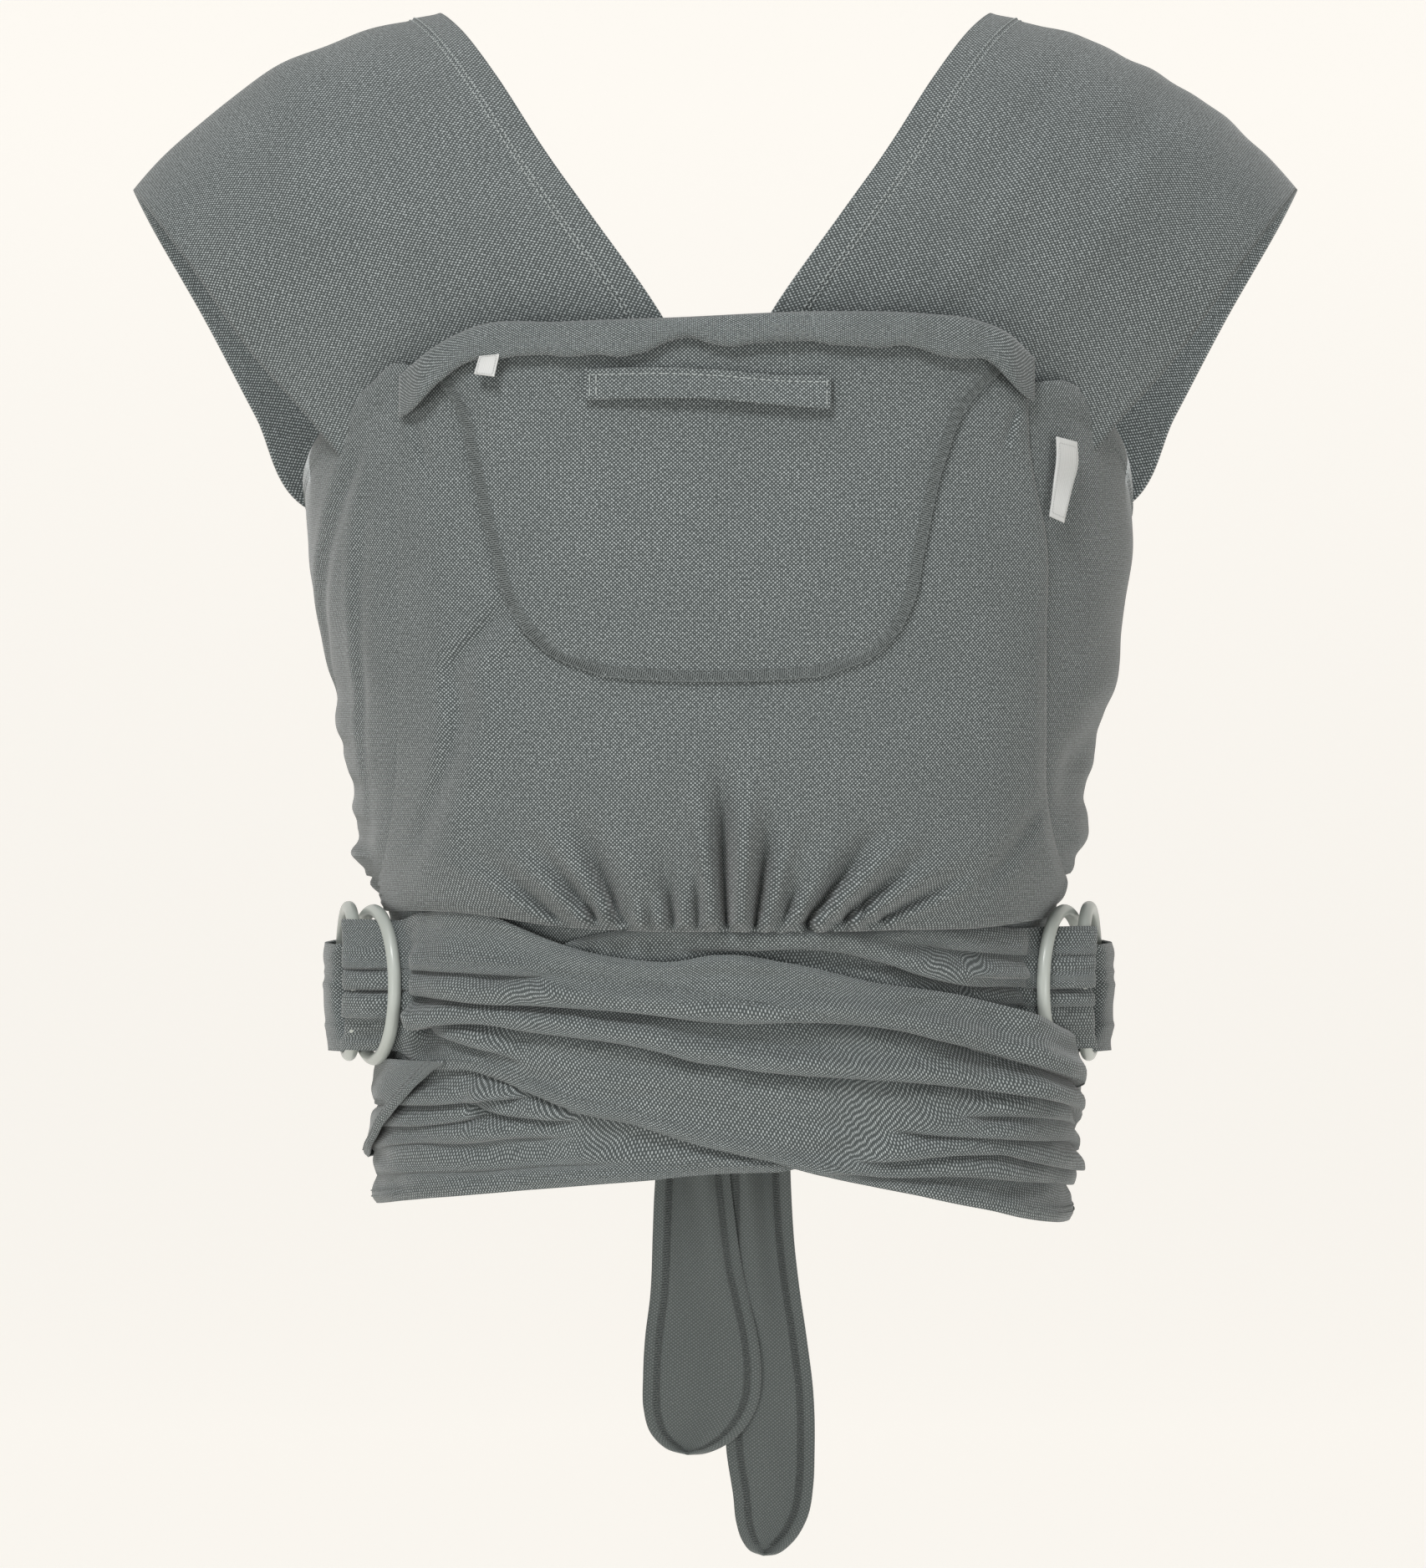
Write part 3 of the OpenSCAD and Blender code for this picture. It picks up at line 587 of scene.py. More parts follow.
def panel_grid():
    nu, nv = 230, 150
    tuck = 16
    u = down(0, 1, nu)
    low = np.linspace(-1, 0, tuck, endpoint=False)
    up = np.linspace(0, 1, nv) ** 1.25
    x_top = mix(-119, 118, u)
    head = np.maximum(HEM_LOW(x_top) + 5, 312)
    z_low, z_up = np.broadcast_to(low, (nu, tuck)), np.broadcast_to(up, (nu, nv))
    foot = POUCH_FOOT(mix(-133, 136, u))
    z = np.concatenate([foot + 0 * z_low, mix(foot, head, z_up)], 1)
    x = mix(PANEL_LEFT(z), PANEL_RIGHT(z), u)
    out = panel_out(x, z)
    section = POUCH(z_low)
    middle = window(x[:, :tuck], -134, -98, 100, 136)
    share = section[..., 1] / SAG(0)
    out[:, :tuck] = mix(LAYER["panel"] - 0.4, out[:, :tuck], share)
    z[:, :tuck] += section[..., 0] * mix(0.4, 1, middle)
    # The edges turn down to the wings.
    edge = np.minimum(x - PANEL_LEFT(z), PANEL_RIGHT(z) - x)
    out = out - (out - LAYER["wing"] - 1.3) * bell(np.maximum(edge, 0), 2.2) * smooth((z - 120) / 15)
    # On the left it runs out into the wing without a step.
    blend_in = smooth(1 - (x - PANEL_LEFT(z)) / 20) * smooth((z - 120) / 15)
    out = mix(out, LAYER["wing"] + 0.2, blend_in) - 0.9 * blend_in * bell(x - PANEL_LEFT(z), 2.5)
    grid, _, angle, height = laid(x, z, out)
    return grid, flat_uv(ROUND(angle), height)


def make_panel():
    grid, uv = panel_grid()
    panel = cloth_sheet("front_panel_cloth", grid, OXFORD, uv)
    place(panel, "carrier", "cloth", "front_panel")
    # The elastic inside the foot.
    elastic_x = np.linspace(-27, 19, 60)
    rows = []
    for z in np.linspace(101, 106, 7):
        wave = 0.35 * np.sin(2 * np.pi * elastic_x / 5.5)
        rows.append(trunk(angle_at(elastic_x, z, 5), z, 4.4 + wave)[0])
    elastic = cloth_sheet("pouch_elastic", np.stack(rows, 1), ELASTIC, None, 0.8)
    place(elastic, "carrier", "elastic", "gather_elastic")


# ---- Head support ------------------------------------------------------------------------------
SUPPORT_FOOT = 206.0
SUPPORT_LEFT = curve([[0, -44], [4, -60], [10, -71], [20, -79.5], [44, -88], [76, -96], [95, -101.5],
                      [108, -112], [126, -116]])
SUPPORT_RIGHT = curve([[0, 40], [4, 56], [10, 66], [20, 73], [44, 79], [76, 87], [95, 96], [110, 114],
                       [126, 116]])


def support_foot_line(x):
    return SUPPORT_FOOT + 0.0012 * (x + 3) ** 2


def support_out(x, z, edge):
    """The padded head support: flat on the panel at its seam, fuller inside it."""
    return panel_out(x, z) + 1.3 + 1.0 * smooth((edge - 4) / 10) + 0.3 * bell(edge - 0.3, 1.4)


def support_edge(x, z):
    """Distance in from the head support's seam."""
    w = z - support_foot_line(x)
    sides = np.minimum(x - SUPPORT_LEFT(w), SUPPORT_RIGHT(w) - x) * 0.95
    return np.minimum(sides, w)


def make_support():
    nu, nv = 190, 120
    s = down(0, 1, nu)
    s = mix(s, smooth(s), 0.35)
    t = across(0, 1, nv) ** 1.35
    w = t * 128
    x = mix(SUPPORT_LEFT(w), SUPPORT_RIGHT(w), s)
    head = np.minimum(HEM_LOW(np.clip(x, -121, 120)) + 6, 341)
    z = np.minimum(support_foot_line(x) * (1 - t) + t * head + 0 * x, head)
    w = z - support_foot_line(x)
    x = mix(SUPPORT_LEFT(w), SUPPORT_RIGHT(w), s)
    edge = support_edge(x, z)
    out = support_out(x, z, np.maximum(edge, 0))
    grid, _, angle, height = laid(x, z, out)
    cover = cloth_sheet("head_support_cloth", grid, OXFORD, flat_uv(ROUND(angle) + 7.3, height + 3.1), 1.0)
    place(cover, "carrier", "cloth", "head_support_cover", "head_support_lining")
    # The overlock seam runs down one side, along the foot and up the other.
    far = np.concatenate([np.linspace(107, 8, 90), np.linspace(8, 0, 30)[1:]])
    left = np.stack([SUPPORT_LEFT(far), far], -1)
    right = np.stack([SUPPORT_RIGHT(far), far], -1)[::-1]
    foot = np.stack([np.linspace(-44, 40, 60), np.zeros(60)], -1)[1:-1]
    outline = np.concatenate([left, foot, right])
    outline[:, 1] += support_foot_line(outline[:, 0])
    run = np.gradient(outline, axis=0)
    run /= np.linalg.norm(run, axis=-1, keepdims=True)
    inward = np.stack([-run[:, 1], run[:, 0]], -1)
    lines = []
    for inset in (0.3, 4.4):
        q = outline + inward * inset
        o = support_out(q[:, 0], q[:, 1], np.full(len(q), inset))
        angle, height = seen(q[:, 0], q[:, 1], o)
        lines.append(trunk(angle, height, o + 0.62))
    seam = overlocked("head_support_seam", lines[0][0], lines[1][0], lines[0][1], SEAM, 1.15, 0.5)
    place(seam, "carrier", "cloth")


# ---- Top hem -----------------------------------------------------------------------------------
# The hem's section: [place, distance out, share of its height, height added]
HEM_SECTION = curve([[0, 8.8, 0, 4], [0.1, 11.2, 0, 1.2], [0.17, 13.4, 0, -0.3], [0.24, 14.7, 0, 0.9],
                     [0.36, 15.2, 0.2, 1],
                     [0.55, 14.7, 0.7, 0], [0.66, 13.2, 1, -0.7], [0.74, 10.5, 1, 0], [0.82, 7.6, 1, -0.6],
                     [0.9, 5.4, 1, -3.2], [1, 4.4, 0.2, 0]])


def make_hem():
    x, t = down(-122, 120.5, 300), across(0, 1, 46)
    low, high = HEM_LOW(x), HEM_HIGH(x)
    section = HEM_SECTION(t)
    share, extra = section[..., 1], section[..., 2]
    ends = window(x, -123, -112, 111, 121.5)
    out = mix(5.2, section[..., 0], 0.35 + 0.65 * ends)
    gathers = ripple(31, 9, 40)
    out = out + 0.45 * gathers(x, 0 * t) * smooth(share + 0.3) * (1 - bell(t - 1, 0.2))
    z = mix(low, high, share) + extra * mix(0.5, 1, ends)
    z = z + 0.35 * gathers(x + 40, 0 * t) * smooth((0.6 - t) / 0.4)
    grid, _, angle, _ = laid(x, z, out)
    hem = cloth_sheet("top_hem_cloth", grid, OXFORD, flat_uv(ROUND(angle), 300 + t * 46), 1.1)
    place(hem, "carrier", "cloth", "top_hem", "top_hem_elastic")
    u = np.linspace(0.03, 0.97, 400)
    thread = stitched("top_hem_stitch", grid, u, np.full_like(u, 0.905), THREAD, 3.0, 0.5, -0.8)
    place(thread, "carrier", "cloth")


# ---- Carrying strap ----------------------------------------------------------------------------
STRAP_LEFT, STRAP_RIGHT = -51.2, 43.0


def make_strap():
    nu, nv = 130, 28
    u = down(0, 1, nu)
    turn = np.linspace(0, 2 * np.pi, nv, endpoint=False)[None, :]
    x = mix(STRAP_LEFT, STRAP_RIGHT, u)
    high = curve([[0, 326], [0.3, 326.6], [0.55, 325.6], [0.8, 323.6], [1, 323.6]])(u)
    low = curve([[0, 314], [0.25, 314.6], [0.5, 314.4], [0.75, 312.4], [1, 310.4]])(u)
    share = 0.5 + 0.5 * power(np.cos(turn), 0.45)
    thick = 1.15 * power(np.sin(turn), 0.55)
    lift = curve([[0, 0.6], [0.12, 1.2], [0.5, 2.4], [0.85, 2.2], [0.96, 1.4], [1, 0.8]])(u)
    z = mix(low, high, share)
    out = panel_out(x, z) + 5.2 + lift * (1 - 0.75 * share) + thick
    out = out - 0.9 * bell(share - 0.8, 0.07) * (thick > 0)
    grid, _, angle, _ = laid(x, z, out)
    points = grid.transpose(1, 0, 2).reshape(-1, 3)
    strap = add_mesh("carry_strap_cloth", points, grid_faces(nv, nu, closed=True),
                     flat_uv(ROUND(angle).T, z.T), OXFORD)
    for end in (0, nu - 1):
        ring = [k * nu + end for k in range(nv)]
        add_cap(strap, ring if end else ring[::-1])
    place(strap, "carrier", "cloth", "carry_strap")
    # One line of stitches runs along the strap, and three short ones hold its ends.
    lines = []
    for k, xs in enumerate([np.linspace(-49.5, 41.5, 200), *(np.full(12, end) for end in (-49.5, -47.0,
                                                                                          41.4))]):
        us = (xs - STRAP_LEFT) / (STRAP_RIGHT - STRAP_LEFT)
        top, foot, rise = (np.interp(us, u[:, 0], values[:, 0]) for values in (high, low, lift))
        zs = np.linspace(foot[0] + 1, top[0] - 1.5, len(xs)) if k else mix(foot, top, 0.8)
        drop = rise * (1 - 0.75 * (zs - foot) / (top - foot))
        p, n, _, _ = laid(xs, zs, panel_out(xs, zs) + 5.2 + drop + (1.3 if k else 0.55))
        lines.append(running_stitch(f"carry_strap_stitch_{k}", p, n, THREAD, 2.4, 0.55))
    place(join("carry_strap_stitch", lines), "carrier", "cloth")


def add_cap(piece, ring):
    """Closes a ring of a mesh's points with one face."""
    mesh = bmesh.new()
    mesh.from_mesh(piece.data)
    mesh.verts.ensure_lookup_table()
    mesh.faces.new([mesh.verts[k] for k in ring])
    mesh.to_mesh(piece.data)
    mesh.free()


# ---- Side wings --------------------------------------------------------------------------------
# How far the cloth is bunched out over the rings: [height, distance]
BUNCH_LEFT = curve([[108, 0], [113, 1], [118, 3], [121, 5.2], [124, 7.5], [127, 8.6], [130, 5.0],
                    [132, 4.4], [135, 2.6],
                    [138, 4.2], [140.5, 5.6], [144, 2.0], [148, 0.6], [152, 1.2], [158, 0.8], [166, -0.6],
                    [175, 0.4], [181, 0.2], [190, 1.8], [201, -2.2], [212, -0.8], [220, 0], [330, 0]])
BUNCH_RIGHT = curve([[108, 0], [113, 1], [118, 5.0], [121, 8.5], [127, 9.5], [132, 5.0], [136, 2.6],
                     [140, 1.2],
                     [145, 3.6], [152, 5.0], [158, 4.0], [165, 1.2], [175, 0.6], [186, 0.6], [196, 2.4],
                     [204, 5.0], [214, 4.8], [224, 3.2], [236, 2.4], [255, 2.6], [270, 1.0], [330, 0]])
WING_TOP = {
    -1: curve([[44, 322], [49, 323], [54.4, 316], [63.5, 307], [72.7, 299], [84, 288], [95, 278],
               [106, 270]]),
    1: curve([[42, 315], [46.5, 316], [53.7, 317], [63.5, 309], [73.5, 299], [85, 284], [96, 277],
              [106, 272]]),
}


WING_FOOT = 113


def make_wing(side):
    word = WORD[side]
    a, t = down(40, 107, 120), across(0, 1, 190)
    top = WING_TOP[side](a)
    z = mix(WING_FOOT, top, t)
    waves = ripple(41 if side < 0 else 42, 30, 16)
    fine = ripple(43 if side < 0 else 44, 14, 7)
    round_to_side = smooth((a - 52) / 30)
    bunch = 0.8 * (BUNCH_LEFT if side < 0 else BUNCH_RIGHT)(z + (90 - a) * 0.12)
    out = LAYER["wing"] + bunch * (0.25 + 0.75 * round_to_side)
    low = 1 - smooth((z - 150) / 70)
    out = out + 1.2 * waves(a, z) * (0.25 + 0.75 * low) + 0.6 * fine(a * 0.7 + 10,
                                                                     z) * low * smooth((a - 45) / 15)
    if side < 0:
        # Soft folds fall from the corner under the hem, down and back.
        for lean, deep, width in ((1.3, 1.3, 8.0), (3.1, 1.6, 11.0)):
            drop = 316 - z
            r = ((a - 47) - drop * lean * 0.115) * 2.1
            fade = window(drop, 4, 28, 100, 180)
            out = out + deep * fade * (0.7 * bell(r - width * 0.8, width * 0.7) - bell(r, width * 0.6))
    else:
        out = out - 3.0 * bell(z - 168 - (a - 60) * 0.5, 10) * window(a, 50, 58, 72, 86)
    # Under the panel's edge the wing lies flat.
    panel_edge = side * seen((PANEL_LEFT if side < 0 else PANEL_RIGHT)(z), z, LAYER["wing"])[0]
    out = mix(LAYER["wing"], out, smooth((a - panel_edge - 1) / 12))
    rim = top - z
    out = out + 0.7 * bell(rim - 5, 4) - 0.3 * bell(rim, 2)
    grid, _ = trunk(side * a, z, out)
    uv = flat_uv(side * ROUND(side * a), z)
    wing = cloth_sheet(f"{word}_wing_cloth", grid, OXFORD, uv, CLOTH, flip=side < 0)
    place(wing, "carrier", "cloth", f"{word}_side_wing")
    u = np.linspace(0.16, 0.98, 300)
    rows = [(u, 1 - inset / (top[:, 0].mean() - WING_FOOT)) for inset in (9.0, 11.0)]
    thread = stitch_rows(f"{word}_wing_stitch", grid, rows, SEAM, 2.8, 0.5, 0.7 * side)


# ---- Shoulder bands ----------------------------------------------------------------------------
# [inner edge x, y, z, outer edge x, y, z, how far the middle stands out], front to back, on the left.
BAND = np.array([
    [-2, -108, 300, -124, -74, 262, 2], [-6, -108, 320, -136, -68, 282, 3],
                 [-20, -105, 346, -152, -60, 303, 6],
    [-48, -92, 386, -178, -52, 333, 9], [-66, -78, 411, -199, -45, 363, 11],
                 [-83, -55, 437, -213, -31, 382, 12],
    [-96, -28, 454, -220, -14, 391, 13], [-105, 4, 461, -222.5, 4, 394, 13],
                 [-102, 36, 452, -216, 24, 381, 13],
    [-82, 68, 420, -196, 44, 346, 13], [-52, 88, 376, -176, 56, 308, 13],
                 [-30, 99, 344, -158, 64, 274, 10]], float)


def behind(x, z, out):
    """The point behind the trunk at x, z, on a layer that far out."""
    return trunk(180 - angle_at(x, z), z, out)[0]


def make_band(side):
    word, other = WORD[side], WORD[-side]
    layer = LAYER[f"cross_{word}"]
    inner, outer, stand = [], [], []
    for row in BAND:
        for edge, store in ((row[:3], inner), (row[3:6], outer)):
            x, z = unproject(edge[0] + VIEW_X * 0.5, edge[2], edge[1])
            store.append([x, edge[1], z])
        stand.append(row[6])
    # Down the back the band lies on the trunk, crosses the other one, and runs on to the rings' loop.
    for x, z, x_out, z_out in ((-20, 314, -70, 262), (20, 271, -20, 231)):
        inner.append(behind(x, z, layer + 1))
        outer.append(behind(x_out, z_out, layer + 1))
        stand.append(1.5 if x < 0 else 0.5)
    for a, z, a_out, z_out, rise in ((157, 214, 172, 176, 1.5), (134, 168, 148, 130, 3),
                                     (121, 122, 131, 80, 7), (113, 107, 116, 65, 11 - layer)):
        inner.append(trunk(a, z, layer + rise)[0])
        outer.append(trunk(a_out, z_out, layer + rise)[0])
        stand.append(0.5)
    inner, outer = np.array(inner), np.array(outer)
    far = distance_along((inner + outer) / 2)
    nu, nv = 300, 74
    s = np.linspace(0, far[-1], nu)
    rows = curve(np.column_stack([far, inner, outer, stand]))(s)
    a, b = rows[:, None, :3], rows[:, None, 3:6]
    t = across(0, 1, nv)
    straight = mix(a, b, t[..., None])
    middle = straight[:, nv // 2]
    out = np.cross(np.gradient(middle, axis=0), (b - a)[:, 0])
    out /= np.linalg.norm(out, axis=-1, keepdims=True)
    centre = np.array([-40.0, 0.0, 300.0])
    out *= np.sign(((middle - centre) * out).sum(-1, keepdims=True))
    profile = 4 * t * (1 - t)
    waves = ripple(51 if side < 0 else 52, 70, 22)
    s = s[:, None]
    height = rows[:, 6:7] * profile + 0.9 * waves(s, 130 * t) * profile
    # The cloth is drawn into lengthwise folds where it runs narrow.
    narrow = smooth((s - far[10]) / 60)
    height = height + 1.6 * narrow * np.sin(2 * np.pi * t * 5.5 + 0.012 * s) * profile ** 0.5
    # A turned hem along the inner edge.
    inset = t * np.linalg.norm(b - a, axis=-1)
    height = height + 0.8 * (1 - smooth((inset - 9.5) / 2.2)) + 0.4 * bell(inset, 1.5)
    grid = straight + out[:, None] * height[..., None]
    grid[..., 2] -= 0.4 * (1 - profile)
    if side > 0:
        grid = grid * MIRROR + np.array([2 * VIEW_X * 0.6, 0, 0])
    band = cloth_sheet(f"{word}_band_cloth", grid, OXFORD, None, CLOTH)
    place(band, "carrier", "cloth", f"{word}_shoulder_band", f"{other}_back_leg")
    outward = normals_of(grid)
    shoulder = slice(60, 150)
    flip = (outward[shoulder] * (grid[shoulder] - centre * np.array([-side, 1, 1]))).sum() < 0
    u = np.linspace(0.02, 0.98, 900)
    wide = np.interp(u, np.linspace(0, 1, nu), np.linalg.norm(grid[:, -1] - grid[:, 0], axis=-1))
    rows = [(u, inset / wide) for inset in (9.6, 11.4)]
    thread = stitch_rows(f"{word}_band_stitch", grid, rows, THREAD, 2.8, 0.5, 0.72, flip)


def make_cross_bands():
    """Under the panel each band runs on across the chest to the other side's rings."""
    lay = curve([[0, -3, 315, -63, 281], [0.25, 50, 300, -24, 228], [0.45, 86, 262, 6, 178],
                 [0.65, 92, 205, 32, 140], [0.85, 88, 150, 52, 110], [1, 84, 118, 62, 98]])
    s, t = down(0, 1, 110), across(0, 1, 44)
    row = lay(s)
    for side, word in WORD.items():
        folds = ripple(61 + side, 0.5, 0.09)
        out = LAYER[f"cross_{word}"] + 0.25 * folds(s, t)
        grid, _ = trunk(mix(row[..., 0], row[..., 2], t), mix(row[..., 1], row[..., 3], t), out)
        if side > 0:
            grid = grid * MIRROR
        band = cloth_sheet(f"{word}_cross_cloth", grid, OXFORD_PLAIN_SIDE_SHADED, None, CLOTH, flip=side > 0)
        place(band, "carrier", "cloth_plain_side", f"{word}_cross_band")


def make_sleeve():
    """The short sleeve that gathers the bands where they cross at the back."""
    half = 34
    a = down(180 - half, 180 + half, 130)
    turn = across(0, 2 * np.pi, 60)
    share = 0.5 + 0.5 * power(np.sin(turn), 0.5)
    gathers = ripple(71, 5, 60)
    z = 250 + (share - 0.5) * 32 + 0.7 * gathers(a, 0 * turn) * np.abs(2 * share - 1)
    ends = window(np.abs(a - 180), -1, 0, half - 9, half + 1)
    out = mix(-1.2, 9.6, 0.5 + 0.5 * power(np.cos(turn), 0.4)) * mix(0.45, 1, ends)
    grid, _ = trunk(a, z, out + 0.5 * gathers(a + 9, 0 * turn))
    sleeve = cloth_sheet("back_sleeve_cloth", grid, OXFORD, None, 1.1)
    place(sleeve, "carrier", "cloth", "back_cross_sleeve")
    u = np.linspace(0.02, 0.98, 200)
    thread = stitch_rows("back_sleeve_stitch", grid, [(u, 0.1), (u, 0.9)], THREAD, 2.8, 0.55, 0.8)


# ---- Rings -------------------------------------------------------------------------------------
# The rings' wires in plan, as the frame has them, and the height of each ring's middle.
RING_R = 28.0
FRONT_RING = np.array([-130.6, -32.1])
REAR_RING = np.array([-141.0, -14.1])
FRONT_Z, REAR_Z = 91.0, 92.0


def ring_ways(yaw):
    """A ring's directions in plan: backward along it, and in towards the body."""
    s, c = math.sin(math.radians(yaw)), math.cos(math.radians(yaw))
    return np.array([-s, c]), np.array([c, s])


FRONT_ALONG, FRONT_IN = ring_ways(18.8)
REAR_ALONG, REAR_IN = ring_ways(8.6)


def wire(centre, along_ring, mid_z, z, end):
    """Where a ring's wire is at each height, at its front (end -1) or its rear (end 1)."""
    reach = np.sqrt(RING_R ** 2 - np.clip(z - mid_z, -23.5, 23.5) ** 2)
    return centre + end * reach[:, None] * along_ring


def skin_beside(angle, out, count):
    """A point beside the rings in plan, that far out of the trunk, once for each row of cloth."""
    return np.tile(trunk(angle, FRONT_Z, out)[0][:2], (count, 1))


def weave_through(points, steps):
    """A smooth path through plan points, each an array with one place for every row of cloth."""
    p = np.array(points)
    n = len(p) - 1
    out = []
    for i in range(n):
        a, b, c, e = p[max(0, i - 1)], p[i], p[i + 1], p[min(n, i + 2)]
        for k in range(steps):
            t = k / steps
            out.append(0.5 * (2 * b + (c - a) * t + (2 * a - 5 * b + 4 * c - e) * t * t
                              + (3 * b - a - 3 * c + e) * t ** 3))
    return np.array(out)


# ---- Sashes ------------------------------------------------------------------------------------
# The sashes' edges, and the line of stitches along the left one's fold, where the camera sees them.
SASH_TOP = [(-122, 117), (-98, 118), (-86, 116), (-74, 111), (-62, 106), (-36, 100), (-17, 99), (0, 101.5),
            (25, 98.6), (59, 91), (93, 86), (104, 83), (116, 78.5), (123, 74.6), (137, 67)]
SASH_FOOT = [(-122, 57), (-107, 57.6), (-94, 57), (-85.6, 54.3), (-76, 50), (-69, 47.3), (-55, 41.6),
             (-33, 36.7),
             (-3, 27.5), (10, 24.6), (20, 22.5), (29, 19.8), (44, 16), (69, 11), (98, 5), (122, 0),
             (130, -0.5), (136, 1.6)]
RIGHT_TOP = [(123, 109), (118, 110), (108, 112), (100, 113), (92, 112), (74, 112), (63, 111), (30, 111.5),
             (0, 112),
             (-28, 112), (-44, 110), (-62, 104), (-80, 84), (-92, 70), (-105, 68), (-120, 68), (-134, 67)]
RIGHT_FOOT = [(123, 70), (108, 66), (90, 58), (70, 46), (50, 31), (38, 22), (29, 19.6), (0, 17.8),
              (-25, 15.5), (-40, 14.4), (-69, 12), (-106, 9), (-131, 7)]
SASH_STITCH = [(-120, 102), (-97, 101), (-74, 99), (-64, 96.5), (-40, 93), (-17, 89.5), (0, 86), (20, 82.5),
               (39, 79.5), (59, 77), (83, 73), (98, 67), (118, 60), (136, 50)]
# Creases: [where the camera sees it, depth, height at the side or None, angles to fade in and out]
LEFT_CREASES = [
    ([(-122, 97), (-106, 96), (-87.5, 95), (-74, 94), (-60, 93)], 2.6, None, (0, 16)),
    ([(-122, 88.6), (-106, 86.7), (-87.5, 84.6), (-69, 84), (-54, 83), (-40, 82), (-26, 80.6), (-12, 78.7),
      (0, 77.5),
      (34, 77.7), (55, 76.4), (69, 74.3), (83, 70.7), (98, 66.8), (113, 61.4), (127, 55.5), (137, 49.6)],
     5.2, 42, (0, 0)),
    ([(-122, 74.3), (-111, 75.4), (-101, 76.6), (-92, 76.8), (-84, 76), (-73, 74), (-55, 71.7), (-36, 69),
      (-22, 66),
      (-8, 62), (0, 61), (10, 59.4), (24.5, 57.7), (49, 56), (69, 54.7), (98, 51.6), (113, 49), (122, 47),
      (132, 44), (138, 40)], 4.6, 33, (0, 0)),
    ([(-120, 75), (-111, 72.6), (-103, 70), (-94, 67), (-84, 64), (-72, 58)], 2.6, None, (4, 14)),
    ([(62, 35), (73, 34), (96, 32.6), (118, 31.4), (134, 31)], 2.8, 26, (14, 0)),
    ([(47, 23), (55, 22.7), (69, 23.7), (83, 25.3), (98, 26), (108, 26), (118, 23.7), (127, 21.7),
      (137, 20)], 3.0, 20,
     (12, 0)),
    ([(36, 17.5), (43, 18), (69, 17), (88, 17.5), (118, 15.5), (130, 15)], 2.6, 14, (14, 0)),
    ([(88, 39.5), (104, 40.5), (120, 40), (136, 36.6)], 2.0, None, (12, 4)),
]
RIGHT_CREASES = [
    ([(122, 90), (108, 91), (98, 91), (86, 92.7), (74, 96), (64, 99.6), (55, 102), (47, 104), (39, 105),
      (29, 105.5), (13, 104.5), (0, 104), (-24, 104)], 4.6, None, (0, 20)),
    ([(121, 92.6), (113, 93.5), (104, 93.7), (92, 94)], 1.6, None, (0, 8)),
    ([(121, 101.5), (108, 102.6), (92, 104), (74, 106.6)], 2.2, None, (0, 12)),
    ([(122, 84.4), (104, 83.4), (92, 84)], 2.2, None, (0, 6)),
    ([(-69, 47.5), (-82, 47), (-95, 46), (-106, 45), (-122, 45)], 2.6, 44, (8, 0)),
    ([(-50, 38), (-64, 39), (-73, 40), (-82, 41), (-90, 43.5), (-97, 46)], 2.8, None, (10, 5)),
    ([(-88, 41.5), (-97, 39), (-111, 37), (-128, 36.5)], 1.8, 34, (6, 0)),
    ([(-52, 31.6), (-66, 32), (-78, 32), (-97, 30), (-116, 30)], 1.2, 26, (12, 6)),
    ([(-30, 22), (-60, 21.4), (-90, 19.5), (-120, 18.6)], 0.7, 18, (16, 0)),
]


# Heights of the creases in the cloth inside the rings.
RING_CREASES = (96.5, 89.7, 74.0, 71.5)


def lay_line(points, side, out, back=None):
    """A line seen by the camera, as height over the angle round to the side that the sash runs to."""
    x, z = np.array(points, float).T
    angle, height = seen(x, z, out)
    angle = side * angle
    order = np.argsort(angle)
    knots = [[angle[k], height[k]] for k in order]
    knots = [k for i, k in enumerate(knots) if i == 0 or k[0] - knots[i - 1][0] > 0.4]
    if back is not None:
        knots += [[max(knots[-1][0] + 14, 100), back], [135, mix(back, 38, 0.35)], [174, mix(back, 38, 0.62)]]
    return curve(knots), knots[0][0], knots[-1][0]


def sash_rows(angle, foot, top, creases, count):
    """Heights of the cloth's rows at each angle, closer together where there is a crease."""
    fine = np.linspace(0, 1, 420)[None, :]
    z = mix(foot[:, None], top[:, None], fine)
    dense = np.ones_like(z) + 3.5 * bell(fine, 0.02) + 3.5 * bell(fine - 1, 0.02)
    for line, strength, _ in creases:
        dense = dense + 7 * strength(angle)[:, None] * bell(z - line(angle)[:, None], 1.7)
    total = np.cumsum(dense, axis=1)
    total = (total - total[:, :1]) / (total[:, -1:] - total[:, :1])
    at = np.linspace(0, 1, count)
    return np.array([np.interp(at, total[i], z[i]) for i in range(len(angle))])


